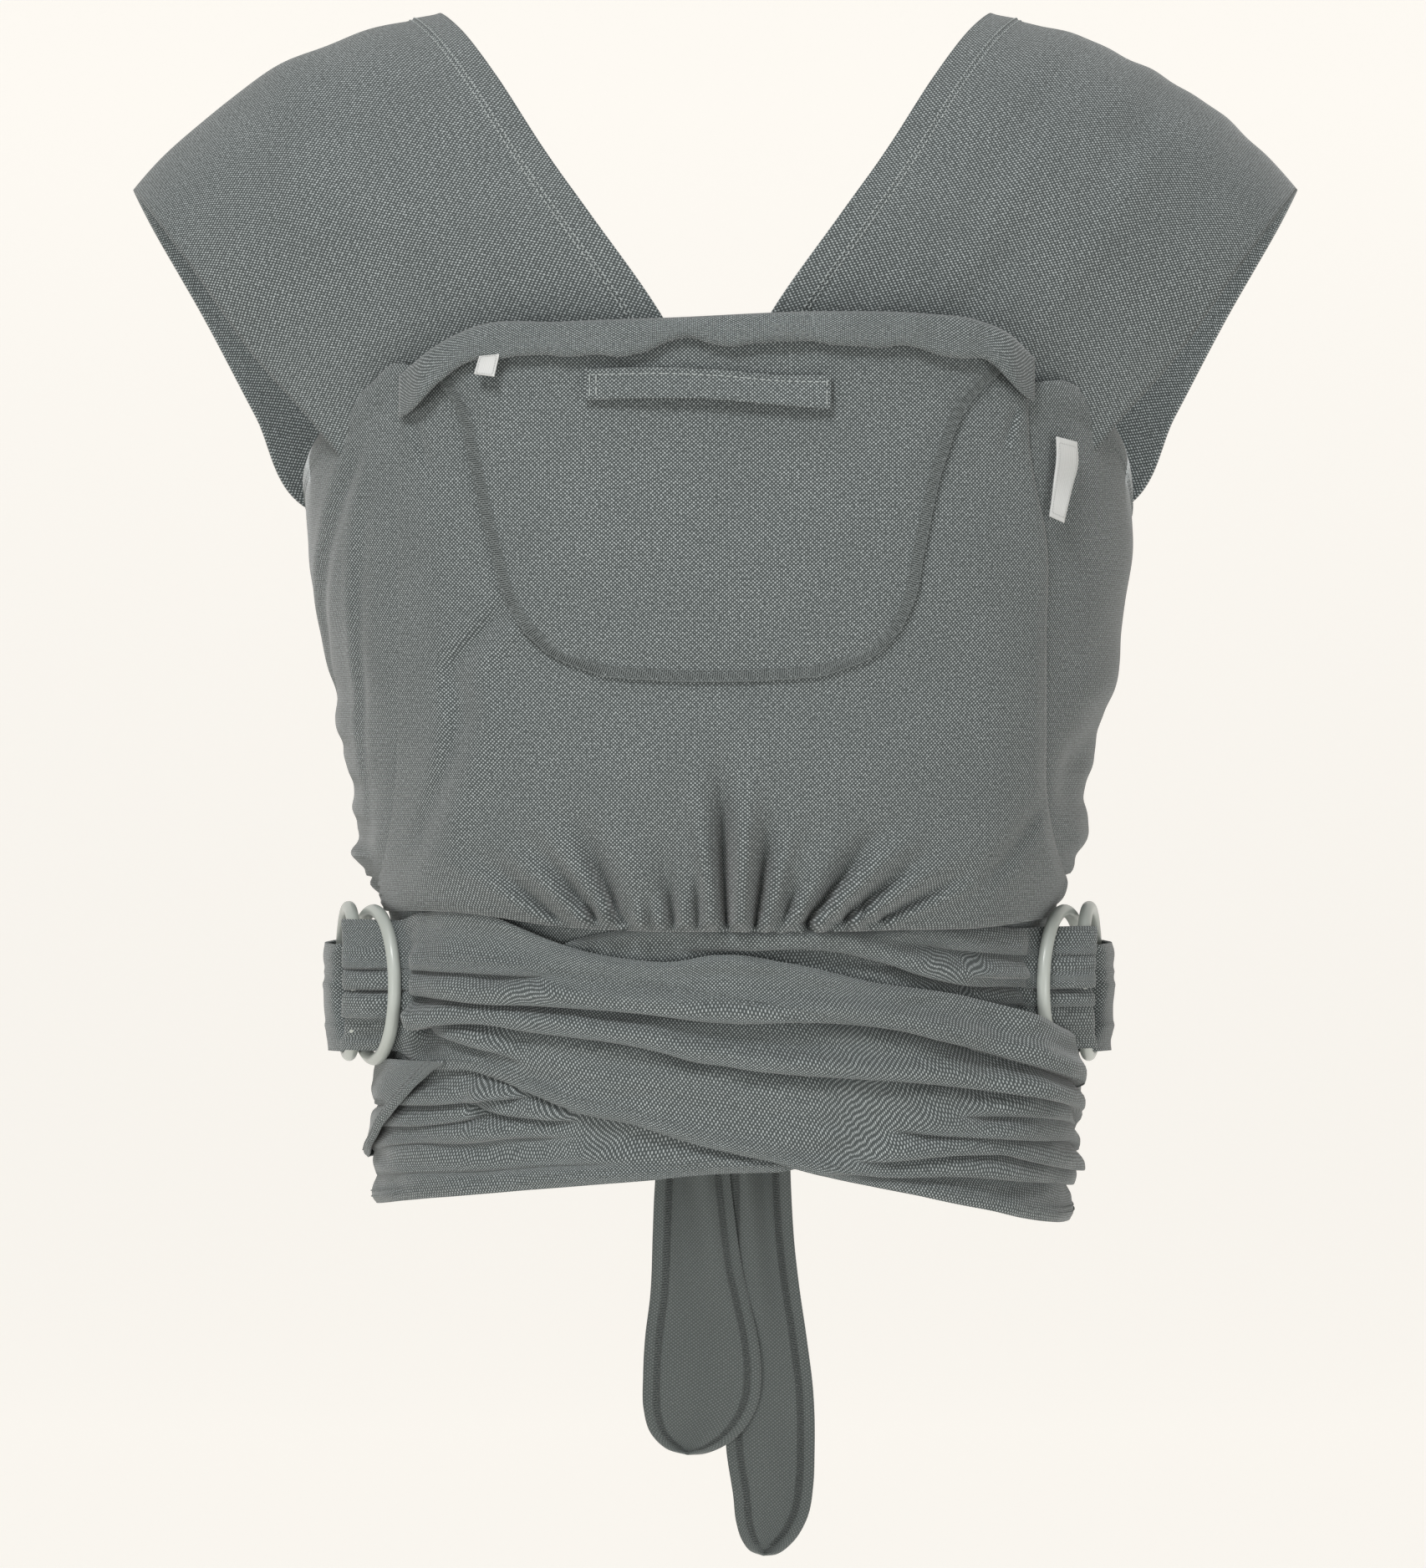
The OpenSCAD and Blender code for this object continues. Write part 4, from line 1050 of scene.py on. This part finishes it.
def make_sash(side, points_top, points_foot, crease_list, ring_top, ring_foot, mid_out, hidden, count):
    """A waist sash: through its rings, across the front in pleats, and round to the knot."""
    word = WORD[-side]
    top, _, _ = lay_line(points_top, side, mid_out(0.0), 57 if side > 0 else 56)
    foot, _, _ = lay_line(points_foot, side, mid_out(0.0), 2 if side > 0 else 6)
    creases = []
    for points, deep, back, (fade_in, fade_out) in crease_list:
        line, first, last = lay_line(points, side, mid_out(0.0) + 1, back)
        start = -999 if fade_in == 0 else first
        end = 999 if back is not None else last

        def strength(a, start=start, end=end, fade_in=fade_in, fade_out=fade_out):
            calm = 1 - (0.6 if side < 0 else 0.25) * window(a, 62, 76, 98, 110)
            return calm * smooth((a - start) / max(fade_in, 1) * 1.2) * smooth((end - a) / max(fade_out,
                                                                                               6) * 1.2)
        creases.append((line, strength, deep))
    angle = np.concatenate([np.linspace(-56, 84, 250), np.linspace(85, 174, 70)])
    z = sash_rows(angle, foot(angle), top(angle), creases, count)
    a = angle[:, None]
    waves, fine = ripple(81 + side, 26, 9), ripple(84 + side, 9, 5)
    out = mid_out(a) + 0.7 * waves(a, z) + 0.25 * fine(a, z)
    shift = np.zeros_like(z)
    for line, strength, deep in creases:
        d = z - line(angle)[:, None]
        amount = 1.7 * deep * strength(angle)[:, None]
        step = smooth((d + 0.6) / 1.2)
        out = out + amount * (0.62 * step * (0.8 * bell(d - 3.0, 3.6) + 0.3 * np.exp(-np.maximum(d - 3,
                                                                                                 0) / 9))
                              - 0.62 * (1 - step) * np.exp(-np.maximum(-d - 0.5, 0) / 3.0))
        shift = shift - 0.26 * amount * bell(d - 0.9, 1.1) + 0.16 * amount * bell(d + 0.9, 1.0)
    rim = np.minimum(z - z[:, :1], z[:, -1:] - z)
    out = out + 1.0 * bell(rim - 2.5, 3) - 0.7 * bell(rim, 1.2)
    if hidden is not None:
        out = mix(mid_out(a), out, hidden(side * a, z))
    grid, _ = trunk(a, z + shift, out)
    # Through the rings the cloth is drawn together and folded round the rear ring's wire.
    z0 = z[0] + shift[0]
    share = (z0 - z0[0]) / (z0[-1] - z0[0])
    zr = mix(ring_foot, ring_top, share)
    lump = np.clip(out[0] - mid_out(angle[0]), -2.4, 2.4)[:, None]
    for crease in RING_CREASES:
        lump = lump - 1.5 * bell(zr - crease, 1.1)[:, None]
    rear = wire(REAR_RING, REAR_ALONG, REAR_Z, zr, -1)
    front = wire(FRONT_RING, FRONT_ALONG, FRONT_Z, zr, -1)
    over_rear = rear - REAR_IN * (3.9 + 0.4 * lump)
    in_front = front + FRONT_IN * (3.7 - 0.2 * lump)
    points = [skin_beside(-60, 5.4, count), skin_beside(-66, 6.4, count), rear + REAR_IN * 3.4,
              rear + REAR_ALONG * 3.3, over_rear,
              mix(over_rear, in_front, 0.5) - FRONT_IN * (1.2 + 0.8 * lump), in_front]
    plan = np.concatenate([weave_through(points, 7), in_front[None]])
    # A Bezier curve leads from the front ring onto the trunk.
    t = np.linspace(0, 1, 14)[1:-1]
    start, end = plan[-1], grid[0, :, :2]
    pull = start + (plan[-1] - plan[-2]) * 6
    lead = end + (grid[0, :, :2] - grid[1, :, :2]) * 9
    onto = np.array([(1 - k) ** 3 * start + 3 * (1 - k) ** 2 * k * pull
                     + 3 * (1 - k) * k * k * lead + k ** 3 * end for k in t])
    ring_part = np.concatenate([plan, onto])
    s = np.concatenate([np.zeros(len(plan)), smooth(t)])
    heights = zr[None] + (z0 - zr)[None] * s[:, None]
    grid = np.concatenate([np.concatenate([ring_part, heights[..., None]], -1), grid])
    if side < 0:
        grid = grid * MIRROR
    sash = cloth_sheet(f"{word}_sash_cloth", grid, OXFORD_SASH_PAINTED_LIGHT, None, 1.0, flip=side < 0)
    place(sash, "carrier", "cloth", f"{word}_sash", f"{word}_ring_gather")
    return sash, grid, angle, z, len(ring_part)


def left_mid(a):
    """How far out the left sash lies at each angle."""
    return 9.8 + 2.2 * smooth((a + 56) / 9) - 1.6 * smooth((a - 100) / 30)


def right_mid(a):
    """How far out the right sash lies at each angle."""
    return LAYER["sash_right"] + 0.3 * smooth((a - 60) / 30)


def make_sashes():
    over_top, _, _ = lay_line(SASH_TOP, 1, 12.0, 57)
    over_foot, _, _ = lay_line(SASH_FOOT, 1, 12.0, 2)

    def right_hidden(angle, z):
        """1 where the right sash shows, 0 where the left one lies over it."""
        shows = np.maximum(smooth((z - over_top(angle)) / 5), smooth((over_foot(angle) - z) / 4))
        return 0.12 + 0.88 * shows

    right = make_sash(-1, RIGHT_TOP, RIGHT_FOOT, RIGHT_CREASES, 113, 67, right_mid, right_hidden, 112)
    left = make_sash(1, SASH_TOP, SASH_FOOT, LEFT_CREASES, 115.5, 66.5, left_mid, None, 124)
    raise_over_ring(*left)
    for word, (_, grid, angle, z, ring_rows), offset in (("left", left, 3.2), ("right", right, 2.6)):
        nu, nv = grid.shape[:2]
        lines = []
        u = np.linspace((ring_rows + 2) / (nu - 1), 0.97, 900)
        rows = np.linspace(0, 1, nv)
        column = np.clip((u * (nu - 1) - ring_rows).astype(int), 0, len(angle) - 1)
        for k, inset in enumerate((offset, offset + 1.9)):
            v = np.array([np.interp(z[c, 0] + inset, z[c], rows) for c in column])
            lines.append(stitched(f"{word}_sash_stitch_{k}", grid, u, v, SEAM, 2.6, 0.45, 0.66,
                                  flip=word == "right"))
        if word == "left":
            line, first, _ = lay_line(SASH_STITCH, 1, 13.0, 45)
            inside = (angle[column] > first + 1) & (angle[column] < 96)
            for k, drop in enumerate((0.0, 2.0)):
                v = np.array([np.interp(line(angle[c]) - drop, z[c], rows) for c in column[inside]])
                lines.append(stitched(f"left_sash_hem_{k}", grid, u[inside], v, SEAM, 2.6, 0.5, 0.66))
        place(join(f"{word}_sash_stitch", lines), "carrier", "cloth")


def raise_over_ring(piece, grid, angle, z, first):
    """Where the left sash passes over the right rings it stands out by the rings' thickness."""
    angle = angle[:, None]
    lift = 7.6 * smooth((angle - 44) / 14) * (1 - smooth((angle - 70) / 16)) * smooth((z - 32) / 22)
    _, n = trunk(angle, z)
    grid[first:] += n * lift[..., None]
    co = grid.reshape(-1, 3).astype(np.float32) * np.float32(MM)
    piece.data.vertices.foreach_set("co", co.ravel())
    piece.data.update()


def make_fold():
    """The left sash's lower corner, folded up and taken round the side."""
    edge, first, _ = lay_line([(-104, 60), (-109, 57.6), (-114, 53), (-117.5, 49), (-122, 44), (-128, 37),
                               (-132.5, 30)], -1, 12.6, 24)
    nu = 110
    a, t = down(first + 0.3, 132, nu), across(0, 1, 60)
    low = edge(a)
    high = np.maximum(mix(63.5, 60, smooth((a - 70) / 30)), low + 0.5)
    z = mix(low, high, t)
    rim = z - low
    waves = ripple(91, 18, 7)
    out = 13.0 - 2.4 * smooth((a - 68) / 16) + 0.5 * waves(a, z) + 1.5 * bell(rim - 2.2,
                                                                              2.6) - 0.9 * bell(rim, 0.9)
    out = out - 2.2 * bell(z - (47 - 0.10 * (a - 60)), 1.6) * smooth((a - 64) / 8)
    out = out + bell(z - 51, 3) * smooth((a - 60) / 12)
    grid, _ = trunk(-a, z, out)
    fold = cloth_sheet("left_fold_cloth", grid, OXFORD_SASH_PAINTED_LIGHT, None, 1.0, flip=True)
    place(fold, "carrier", "cloth", "left_sash_fold")
    u = np.linspace(0.02, 0.97, 220)
    tall = np.interp(u, np.linspace(0, 1, nu), (high - low)[:, 0])
    rows = [(u, np.clip(inset / tall, 0, 0.98)) for inset in (2.4, 4.4)]
    thread = stitch_rows("left_fold_stitch", grid, rows, SEAM, 2.6, 0.45, 0.66, flip=True)


def make_ring_loop(side):
    """The end of a back leg, turned round the rear wires of both rings."""
    word = WORD[side]
    nv = 74
    z = np.linspace(64, 107.5, nv)
    share = np.linspace(0, 1, nv)
    folds = ripple(101 + side, 30, 9)
    crimp = (0.5 * np.sin(2 * np.pi * (share * 2.6 + 0.35 * share ** 2) + 0.9) + 0.7 * folds(0 * z, z))[:,
                                                                                                        None]
    for crease in (95.6, 90.4, 74.0):
        crimp = crimp - 1.0 * bell(z - crease, 1.3)[:, None]
    front = wire(FRONT_RING, FRONT_ALONG, FRONT_Z, z, 1)
    rear = wire(REAR_RING, REAR_ALONG, REAR_Z, z, 1)
    # The rings tip outward in the loop, so its outer side stands off them.
    points = [skin_beside(-118, 9.5, nv), skin_beside(-106, 10.6, nv), skin_beside(-95, 11.2, nv),
              front + FRONT_IN * 3.5 - FRONT_ALONG * 1,
              front - FRONT_ALONG * 5.2 - FRONT_IN * 1.5,
              front - FRONT_IN * 8.6 - FRONT_ALONG * 3.0 + 0.5 * crimp * FRONT_IN,
              rear - REAR_IN * 7.0 - REAR_ALONG * 8 + 0.4 * crimp * REAR_IN,
              rear - REAR_IN * 4.2 + REAR_ALONG * 2.2 + 0.4 * crimp * REAR_IN,
              rear + REAR_ALONG * 8.5 + REAR_IN * 2.6, skin_beside(-118, 12.6, nv)]
    plan = weave_through(points, 9)
    middle = 86
    height = middle + (z - middle) * (1 - 0.07 * np.sin(down(0, np.pi, len(plan))))
    grid = np.concatenate([plan, height[..., None]], -1)
    if side > 0:
        grid = grid * MIRROR
    loop = cloth_sheet(f"{word}_loop_cloth", grid, OXFORD_SASH_PAINTED_LIGHT, None, 1.1, flip=side > 0)
    place(loop, "carrier", "cloth", f"{word}_ring_loop")
    u = np.linspace(0.84, 0.97, 60)
    rows = [(u, 0.06), (u, 0.94)]
    thread = stitch_rows(f"{word}_loop_stitch", grid, rows, SEAM, 2.6, 0.5, 0.7, flip=side > 0)


# ---- Knot and tails ----------------------------------------------------------------------------
def make_knot():
    low, high = (mm(c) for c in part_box("sash_knot"))
    centre, radius = (low + high) / 2, (high - low) / 2
    nu, nv = 150, 90
    a = np.linspace(0, 2 * np.pi, nu, endpoint=False)[:, None]
    b = across(-np.pi / 2, np.pi / 2, nv)
    lumps, folds = ripple(111, 1.1, 0.7), ripple(112, 0.5, 0.24)
    twist = np.abs(np.sin(3.5 * (a + 1.1 * b)))
    fat = 1 + (0.05 * lumps(a, b) + 0.05 * twist + 0.015 * folds(a, b)) * np.cos(b)
    x = radius[0] * power(np.cos(a), 0.9) * np.cos(b) * fat
    z = radius[2] * power(np.sin(a), 0.9) * np.cos(b) * fat * 0.96
    y = radius[1] * power(np.sin(b), 0.75) * (0.95 + 0 * a)
    points = np.stack(np.broadcast_arrays(centre[0] + x, centre[1] + y, centre[2] + z), -1)
    faces = grid_faces(nu, nv, closed=True)[:, ::-1]
    knot = add_mesh("sash_knot_cloth", points.reshape(-1, 3), faces, flat_uv(a * 19, b * 14), OXFORD_PLAIN_SIDE_SHADED)
    merge_close(knot)
    place(knot, "carrier", "cloth_plain_side", "sash_knot")
    # The last turn of cloth over the knot's face.
    wrap_low, wrap_high = (mm(c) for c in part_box("knot_wrap"))
    u, turn = down(-1, 1, 60), across(-1.15, 1.15, 90)
    half_w = (wrap_high[0] - wrap_low[0]) / 2 * 1.15
    half_h = (wrap_high[2] - wrap_low[2]) / 2 * 1.12
    pleat = 0.8 * np.cos(u * np.pi * 3.2) + 0.5 * ripple(113, 0.5, 0.9)(u, turn)
    z = centre[2] + half_h * np.sin(turn * 1.3)
    y = high[1] - 4.5 + 7.4 * np.cos(turn * 1.3) - 1.4 * u ** 4 + 0.55 * pleat
    x = centre[0] + half_w * u * (1 - 0.18 * np.cos(turn * 1.3)) + 2.5 * turn
    grid = np.stack(np.broadcast_arrays(x, y, z), -1)
    wrap = cloth_sheet("knot_wrap_cloth", grid, OXFORD_PLAIN_SIDE_SHADED, None, 1.6, flip=True)
    place(wrap, "carrier", "cloth_plain_side", "knot_wrap")


def merge_close(piece):
    """Merges the points that meet at the knot's two poles."""
    mesh = bmesh.new()
    mesh.from_mesh(piece.data)
    bmesh.ops.remove_doubles(mesh, verts=mesh.verts, dist=0.02 * MM)
    mesh.to_mesh(piece.data)
    mesh.free()


# Each tail's two edges, from the top down to its round end, where the camera sees them, and 1 for
# the tail in front.
TAILS = {
    "left": ([(-24, 20), (-24.6, 8), (-25, -5), (-26, -29), (-28, -45), (-28.8, -60), (-28.6, -72),
              (-26, -81), (-20, -87), (-12, -89.4)],
             [(4, 20), (5, 10), (6.5, -3), (9, -20), (12, -33), (15, -47), (16, -60), (15, -69), (10, -79),
              (2, -86), (-6, -89), (-12, -89.4)], 1),
    "right": ([(2, 20), (2, 8), (2, -10), (2, -40), (2.4, -70), (3, -88), (5.6, -105), (7, -116), (9, -122),
               (12, -126), (17, -128)],
              [(27, 20), (27.4, 10), (28.6, -8), (30.6, -25), (33.5, -45), (36, -66), (36.5, -89),
               (36, -101), (33.5, -114), (28, -123), (22, -127.4), (17, -128)], -1),
}


def tail_grid(name):
    nu, nv = 64, 150
    left, right, fore = TAILS[name]
    depth = mm(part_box("left_tail")[0])[1] + 1.2 if fore > 0 else mm(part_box("right_tail")[1])[1] - 1.2
    edges = []
    for points in (left, right):
        p = np.array(points, float)
        far = distance_along(p)
        s = 1 - (1 - np.linspace(0, 1, nv)) ** 1.25
        edges.append(curve(np.column_stack([far / far[-1], p]))(s))
    u = down(0, 1, nu)
    x = mix(edges[0][None, :, 0], edges[1][None, :, 0], u)
    z = mix(edges[0][None, :, 1], edges[1][None, :, 1], u)
    wide = (edges[1][:, 0] - edges[0][:, 0])[None]
    inset = np.minimum(u, 1 - u) * wide
    hang = np.clip((20 - z) / 60, 0, 1)
    folds = np.sin(2 * np.pi * (u * 1.6 + 0.2 + 0.15 * np.sin(z * 0.03))) * mix(3.4, 0.9, hang)
    soft = ripple(121 if fore > 0 else 122, 16, 46)
    y = depth - fore * 0.9 * folds + 0.7 * soft(x, z)
    y = y + 0.5 * bell(inset - 5.3, 0.7) - 0.5 * bell(inset - 2.2, 2.0) * (inset > 0)
    x, z = unproject(x, z, y)
    return np.stack([x, y, z], -1)


TAIL_Y = 108


def make_tails():
    for name, hinge_z in (("left", -9.75), ("right", -6.78)):
        grid = tail_grid(name)
        keep = grid[:, :, 2].min(0) < 17.5
        keep[np.argmax(keep) - 1] = True
        grid = grid[:, keep]
        tail = cloth_sheet(f"{name}_tail_cloth", grid, OXFORD_PLAIN_SIDE_SHADED, None, 1.1, flip=True)
        v = np.linspace(0.0, 0.985, 500)
        wide = np.interp(v, np.linspace(0, 1, grid.shape[1]), np.linalg.norm(grid[-1] - grid[0], axis=-1))
        v, wide = v[wide > 15], wide[wide > 15]
        lines = []
        for k in (0, 1):
            outer_u, inner_u = (abs(k - np.minimum(inset / wide, 0.5)) for inset in (4.0, 6.4))
            n = sample(normals_of(grid), outer_u, v)
            n = np.where(n[:, 1:2] > 0, -n, n)
            inner, outer = sample(grid, inner_u, v) + n * 0.7, sample(grid, outer_u, v) + n * 0.7
            lines.append(overlocked(f"{name}_tail_seam_{k}", inner, outer, n, DARK_SEAM, 1.5, 0.42))
        thread = join(f"{name}_tail_seam", lines)
        for piece in (tail, thread):
            bake(piece)
            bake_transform(piece)
        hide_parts(f"{name}_tail")


def bake(piece):
    """Turns a piece's modifiers into mesh."""
    bpy.context.view_layer.update()
    shape = piece.evaluated_get(bpy.context.evaluated_depsgraph_get())
    made = bpy.data.meshes.new_from_object(shape)
    piece.modifiers.clear()
    piece.data = made


def make_root():
    """The gathered cloth between the knot and the tails."""
    u, t = down(-1, 1, 110), across(0, 1, 60)
    z = mix(27.0, 12.6, t)
    half = mix(12.0, 24.5, smooth(t * 1.2))
    x = 1.0 + half * u
    folds = np.cos(u * np.pi * 4.5 + 0.5) * mix(2.4, 1.4, t) + 0.8 * ripple(131, 0.4, 0.9)(u, t)
    turn = mix(3.0, 1.2, t)
    for name, sign in (("tail_root_cloth", -1), ("tail_root_rear_cloth", 1)):
        y = TAIL_Y + 0.6 + sign * (3.4 + turn * (1 - u ** 2) * 0.6 + 0.5 * folds)
        grid = np.stack(np.broadcast_arrays(x, y, z), -1)
        root = cloth_sheet(name, grid, OXFORD_PLAIN_SIDE_SHADED, None, 1.1, flip=sign > 0)
        bake(root)
        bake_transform(root)
        if sign < 0:
            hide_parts("tail_root")


# ---- Labels ------------------------------------------------------------------------------------
def make_labels():
    # The small tag hangs from the hem.
    u, t = down(0, 1, 24), across(0, 1, 22)
    x = mix(mix(-93.6, -91.6, t), mix(-86, -84, t), u)
    z = mix(mix(324.0, 330.8, t), mix(323, 331.6, t), u)
    out = 15.0 + 0.9 * (1 - t) ** 2 + 0.25 * np.sin(u * 3.1)
    grid = laid(x, z, out)[0]
    tag = cloth_sheet("small_tag_ribbon", grid, RIBBON, None, 0.7)
    place(tag, "tag_flap", "label_ribbon", "small_tag")
    border(grid, "small_tag_border", "tag_flap")
    # The side label stands out of the panel's seam.
    t = across(0, 1, 60)
    near = curve([[0, 126.6, 269.5], [0.45, 128.2, 282], [0.8, 129.4, 293], [1, 129.2, 300]])(t)
    far = curve([[0, 132, 267], [0.45, 135.2, 280.6], [0.8, 137.4, 291], [1, 137, 298]])(t)
    x, z = mix(near[..., 0], far[..., 0], u), mix(near[..., 1], far[..., 1], u)
    out = 9.2 + (1.1 * np.sin(2.3 * t * np.pi) + 0.8) * u
    grid = laid(x, z, out)[0]
    label = cloth_sheet("side_label_ribbon", grid, RIBBON, None, 0.8)
    place(label, "label_flap", "label_ribbon", "side_label")
    border(grid, "side_label_border", "label_flap")


def border(grid, name, body):
    """A fine woven border round a ribbon's face."""
    wide, tall = np.linspace(0.1, 0.9, 30), np.linspace(0.06, 0.94, 40)
    loop_u = np.concatenate([wide, np.full(40, 0.9), wide[::-1], np.full(40, 0.1)])
    loop_v = np.concatenate([np.full(30, 0.06), tall, np.full(30, 0.94), tall[::-1]])
    edge = stitched(name, grid, loop_u, loop_v, RIBBON_EDGE, 0.9, 0.3, 0.42)
    place(edge, body, "label_ribbon")


# ---- Making everything -------------------------------------------------------------------------
make_panel()
make_support()
make_hem()
make_strap()
for side in (-1, 1):
    make_wing(side)
    make_band(side)
make_cross_bands()
make_sleeve()
make_sashes()
make_fold()
for side in (-1, 1):
    make_ring_loop(side)
make_knot()
make_root()
make_tails()
make_labels()
for name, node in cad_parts.items():
    if "_ring_front" in name or "_ring_rear" in name:
        node.data.materials.clear()
        node.data.materials.append(RING_COAT)

# ---- Stage, light and camera -------------------------------------------------------------------
BACKDROP = (0.965, 0.939, 0.893)


def make_stage():
    """A pale floor that curves up into a pale wall."""
    floor, wall, bend, half = -0.45, 4.2, 1.4, 7.0
    turn = np.linspace(0, math.pi / 2, 24)
    y = np.concatenate([[-9.0], wall + bend * np.sin(turn), [wall + bend]])
    z = np.concatenate([[floor], floor + bend * (1 - np.cos(turn)), [floor + 9]])
    points = [(sx * half, a, b) for a, b in zip(y, z) for sx in (-1, 1)]
    faces = [(2 * i, 2 * i + 1, 2 * i + 3, 2 * i + 2) for i in range(len(y) - 1)]
    n = Nodes("pale_backdrop")
    n.shader.inputs["Base Color"].default_value = (*(0.5 * c for c in BACKDROP), 1)
    n.shader.inputs["Roughness"].default_value = 1.0
    n.shader.inputs["Specular IOR Level"].default_value = 0.0
    n.shader.inputs["Emission Color"].default_value = (*BACKDROP, 1)
    n.shader.inputs["Emission Strength"].default_value = 0.71
    add_mesh("backdrop", np.array(points) / MM, faces, None, n.material)


def make_light(name, energy, size, at, aim=(0, 0, 0.2)):
    lamp = bpy.data.lights.new(name, "AREA")
    lamp.energy, lamp.shape, lamp.size = energy, "DISK", size
    lamp.color = (1.0, 1.0, 1.0)
    light = bpy.data.objects.new(name, lamp)
    light.location = at
    light.visible_camera = False
    light.rotation_euler = (Vector(aim) - Vector(at)).to_track_quat("-Z", "Y").to_euler()
    bpy.context.scene.collection.objects.link(light)


def make_camera():
    lens = bpy.data.cameras.new("camera")
    lens.sensor_width = 36
    lens.lens = lens.sensor_width * VIEW_FAR / VIEW_TALL
    camera = bpy.data.objects.new("camera", lens)
    camera.location = (VIEW_X * MM, -VIEW_FAR * MM, VIEW_Z * MM)
    camera.rotation_euler = (math.pi / 2, 0, 0)
    bpy.context.scene.collection.objects.link(camera)
    bpy.context.scene.camera = camera


make_stage()
make_light("key", 46, 0.9, (-0.7, -2.0, 2.1))
make_light("top", 11, 1.2, (0.0, -0.4, 2.2))
make_light("left_side", 12, 0.8, (-1.7, -2.2, 0.0))
make_light("right_side", 14, 0.8, (1.7, -2.2, 0.0))
# Inside the shoulder bands.
make_light("left_inside", 0.07, 0.1, (-0.15, -0.03, 0.33), aim=(-0.185, 0.055, 0.325))
make_light("right_inside", 0.07, 0.1, (0.15, -0.03, 0.33), aim=(0.185, 0.055, 0.325))
world = bpy.data.worlds.new("studio")
world.use_nodes = True
world.node_tree.nodes["Background"].inputs[0].default_value = (*BACKDROP, 1)
world.node_tree.nodes["Background"].inputs[1].default_value = 0.24
scene = bpy.context.scene
scene.world = world
scene.view_settings.view_transform = "Standard"
make_camera()
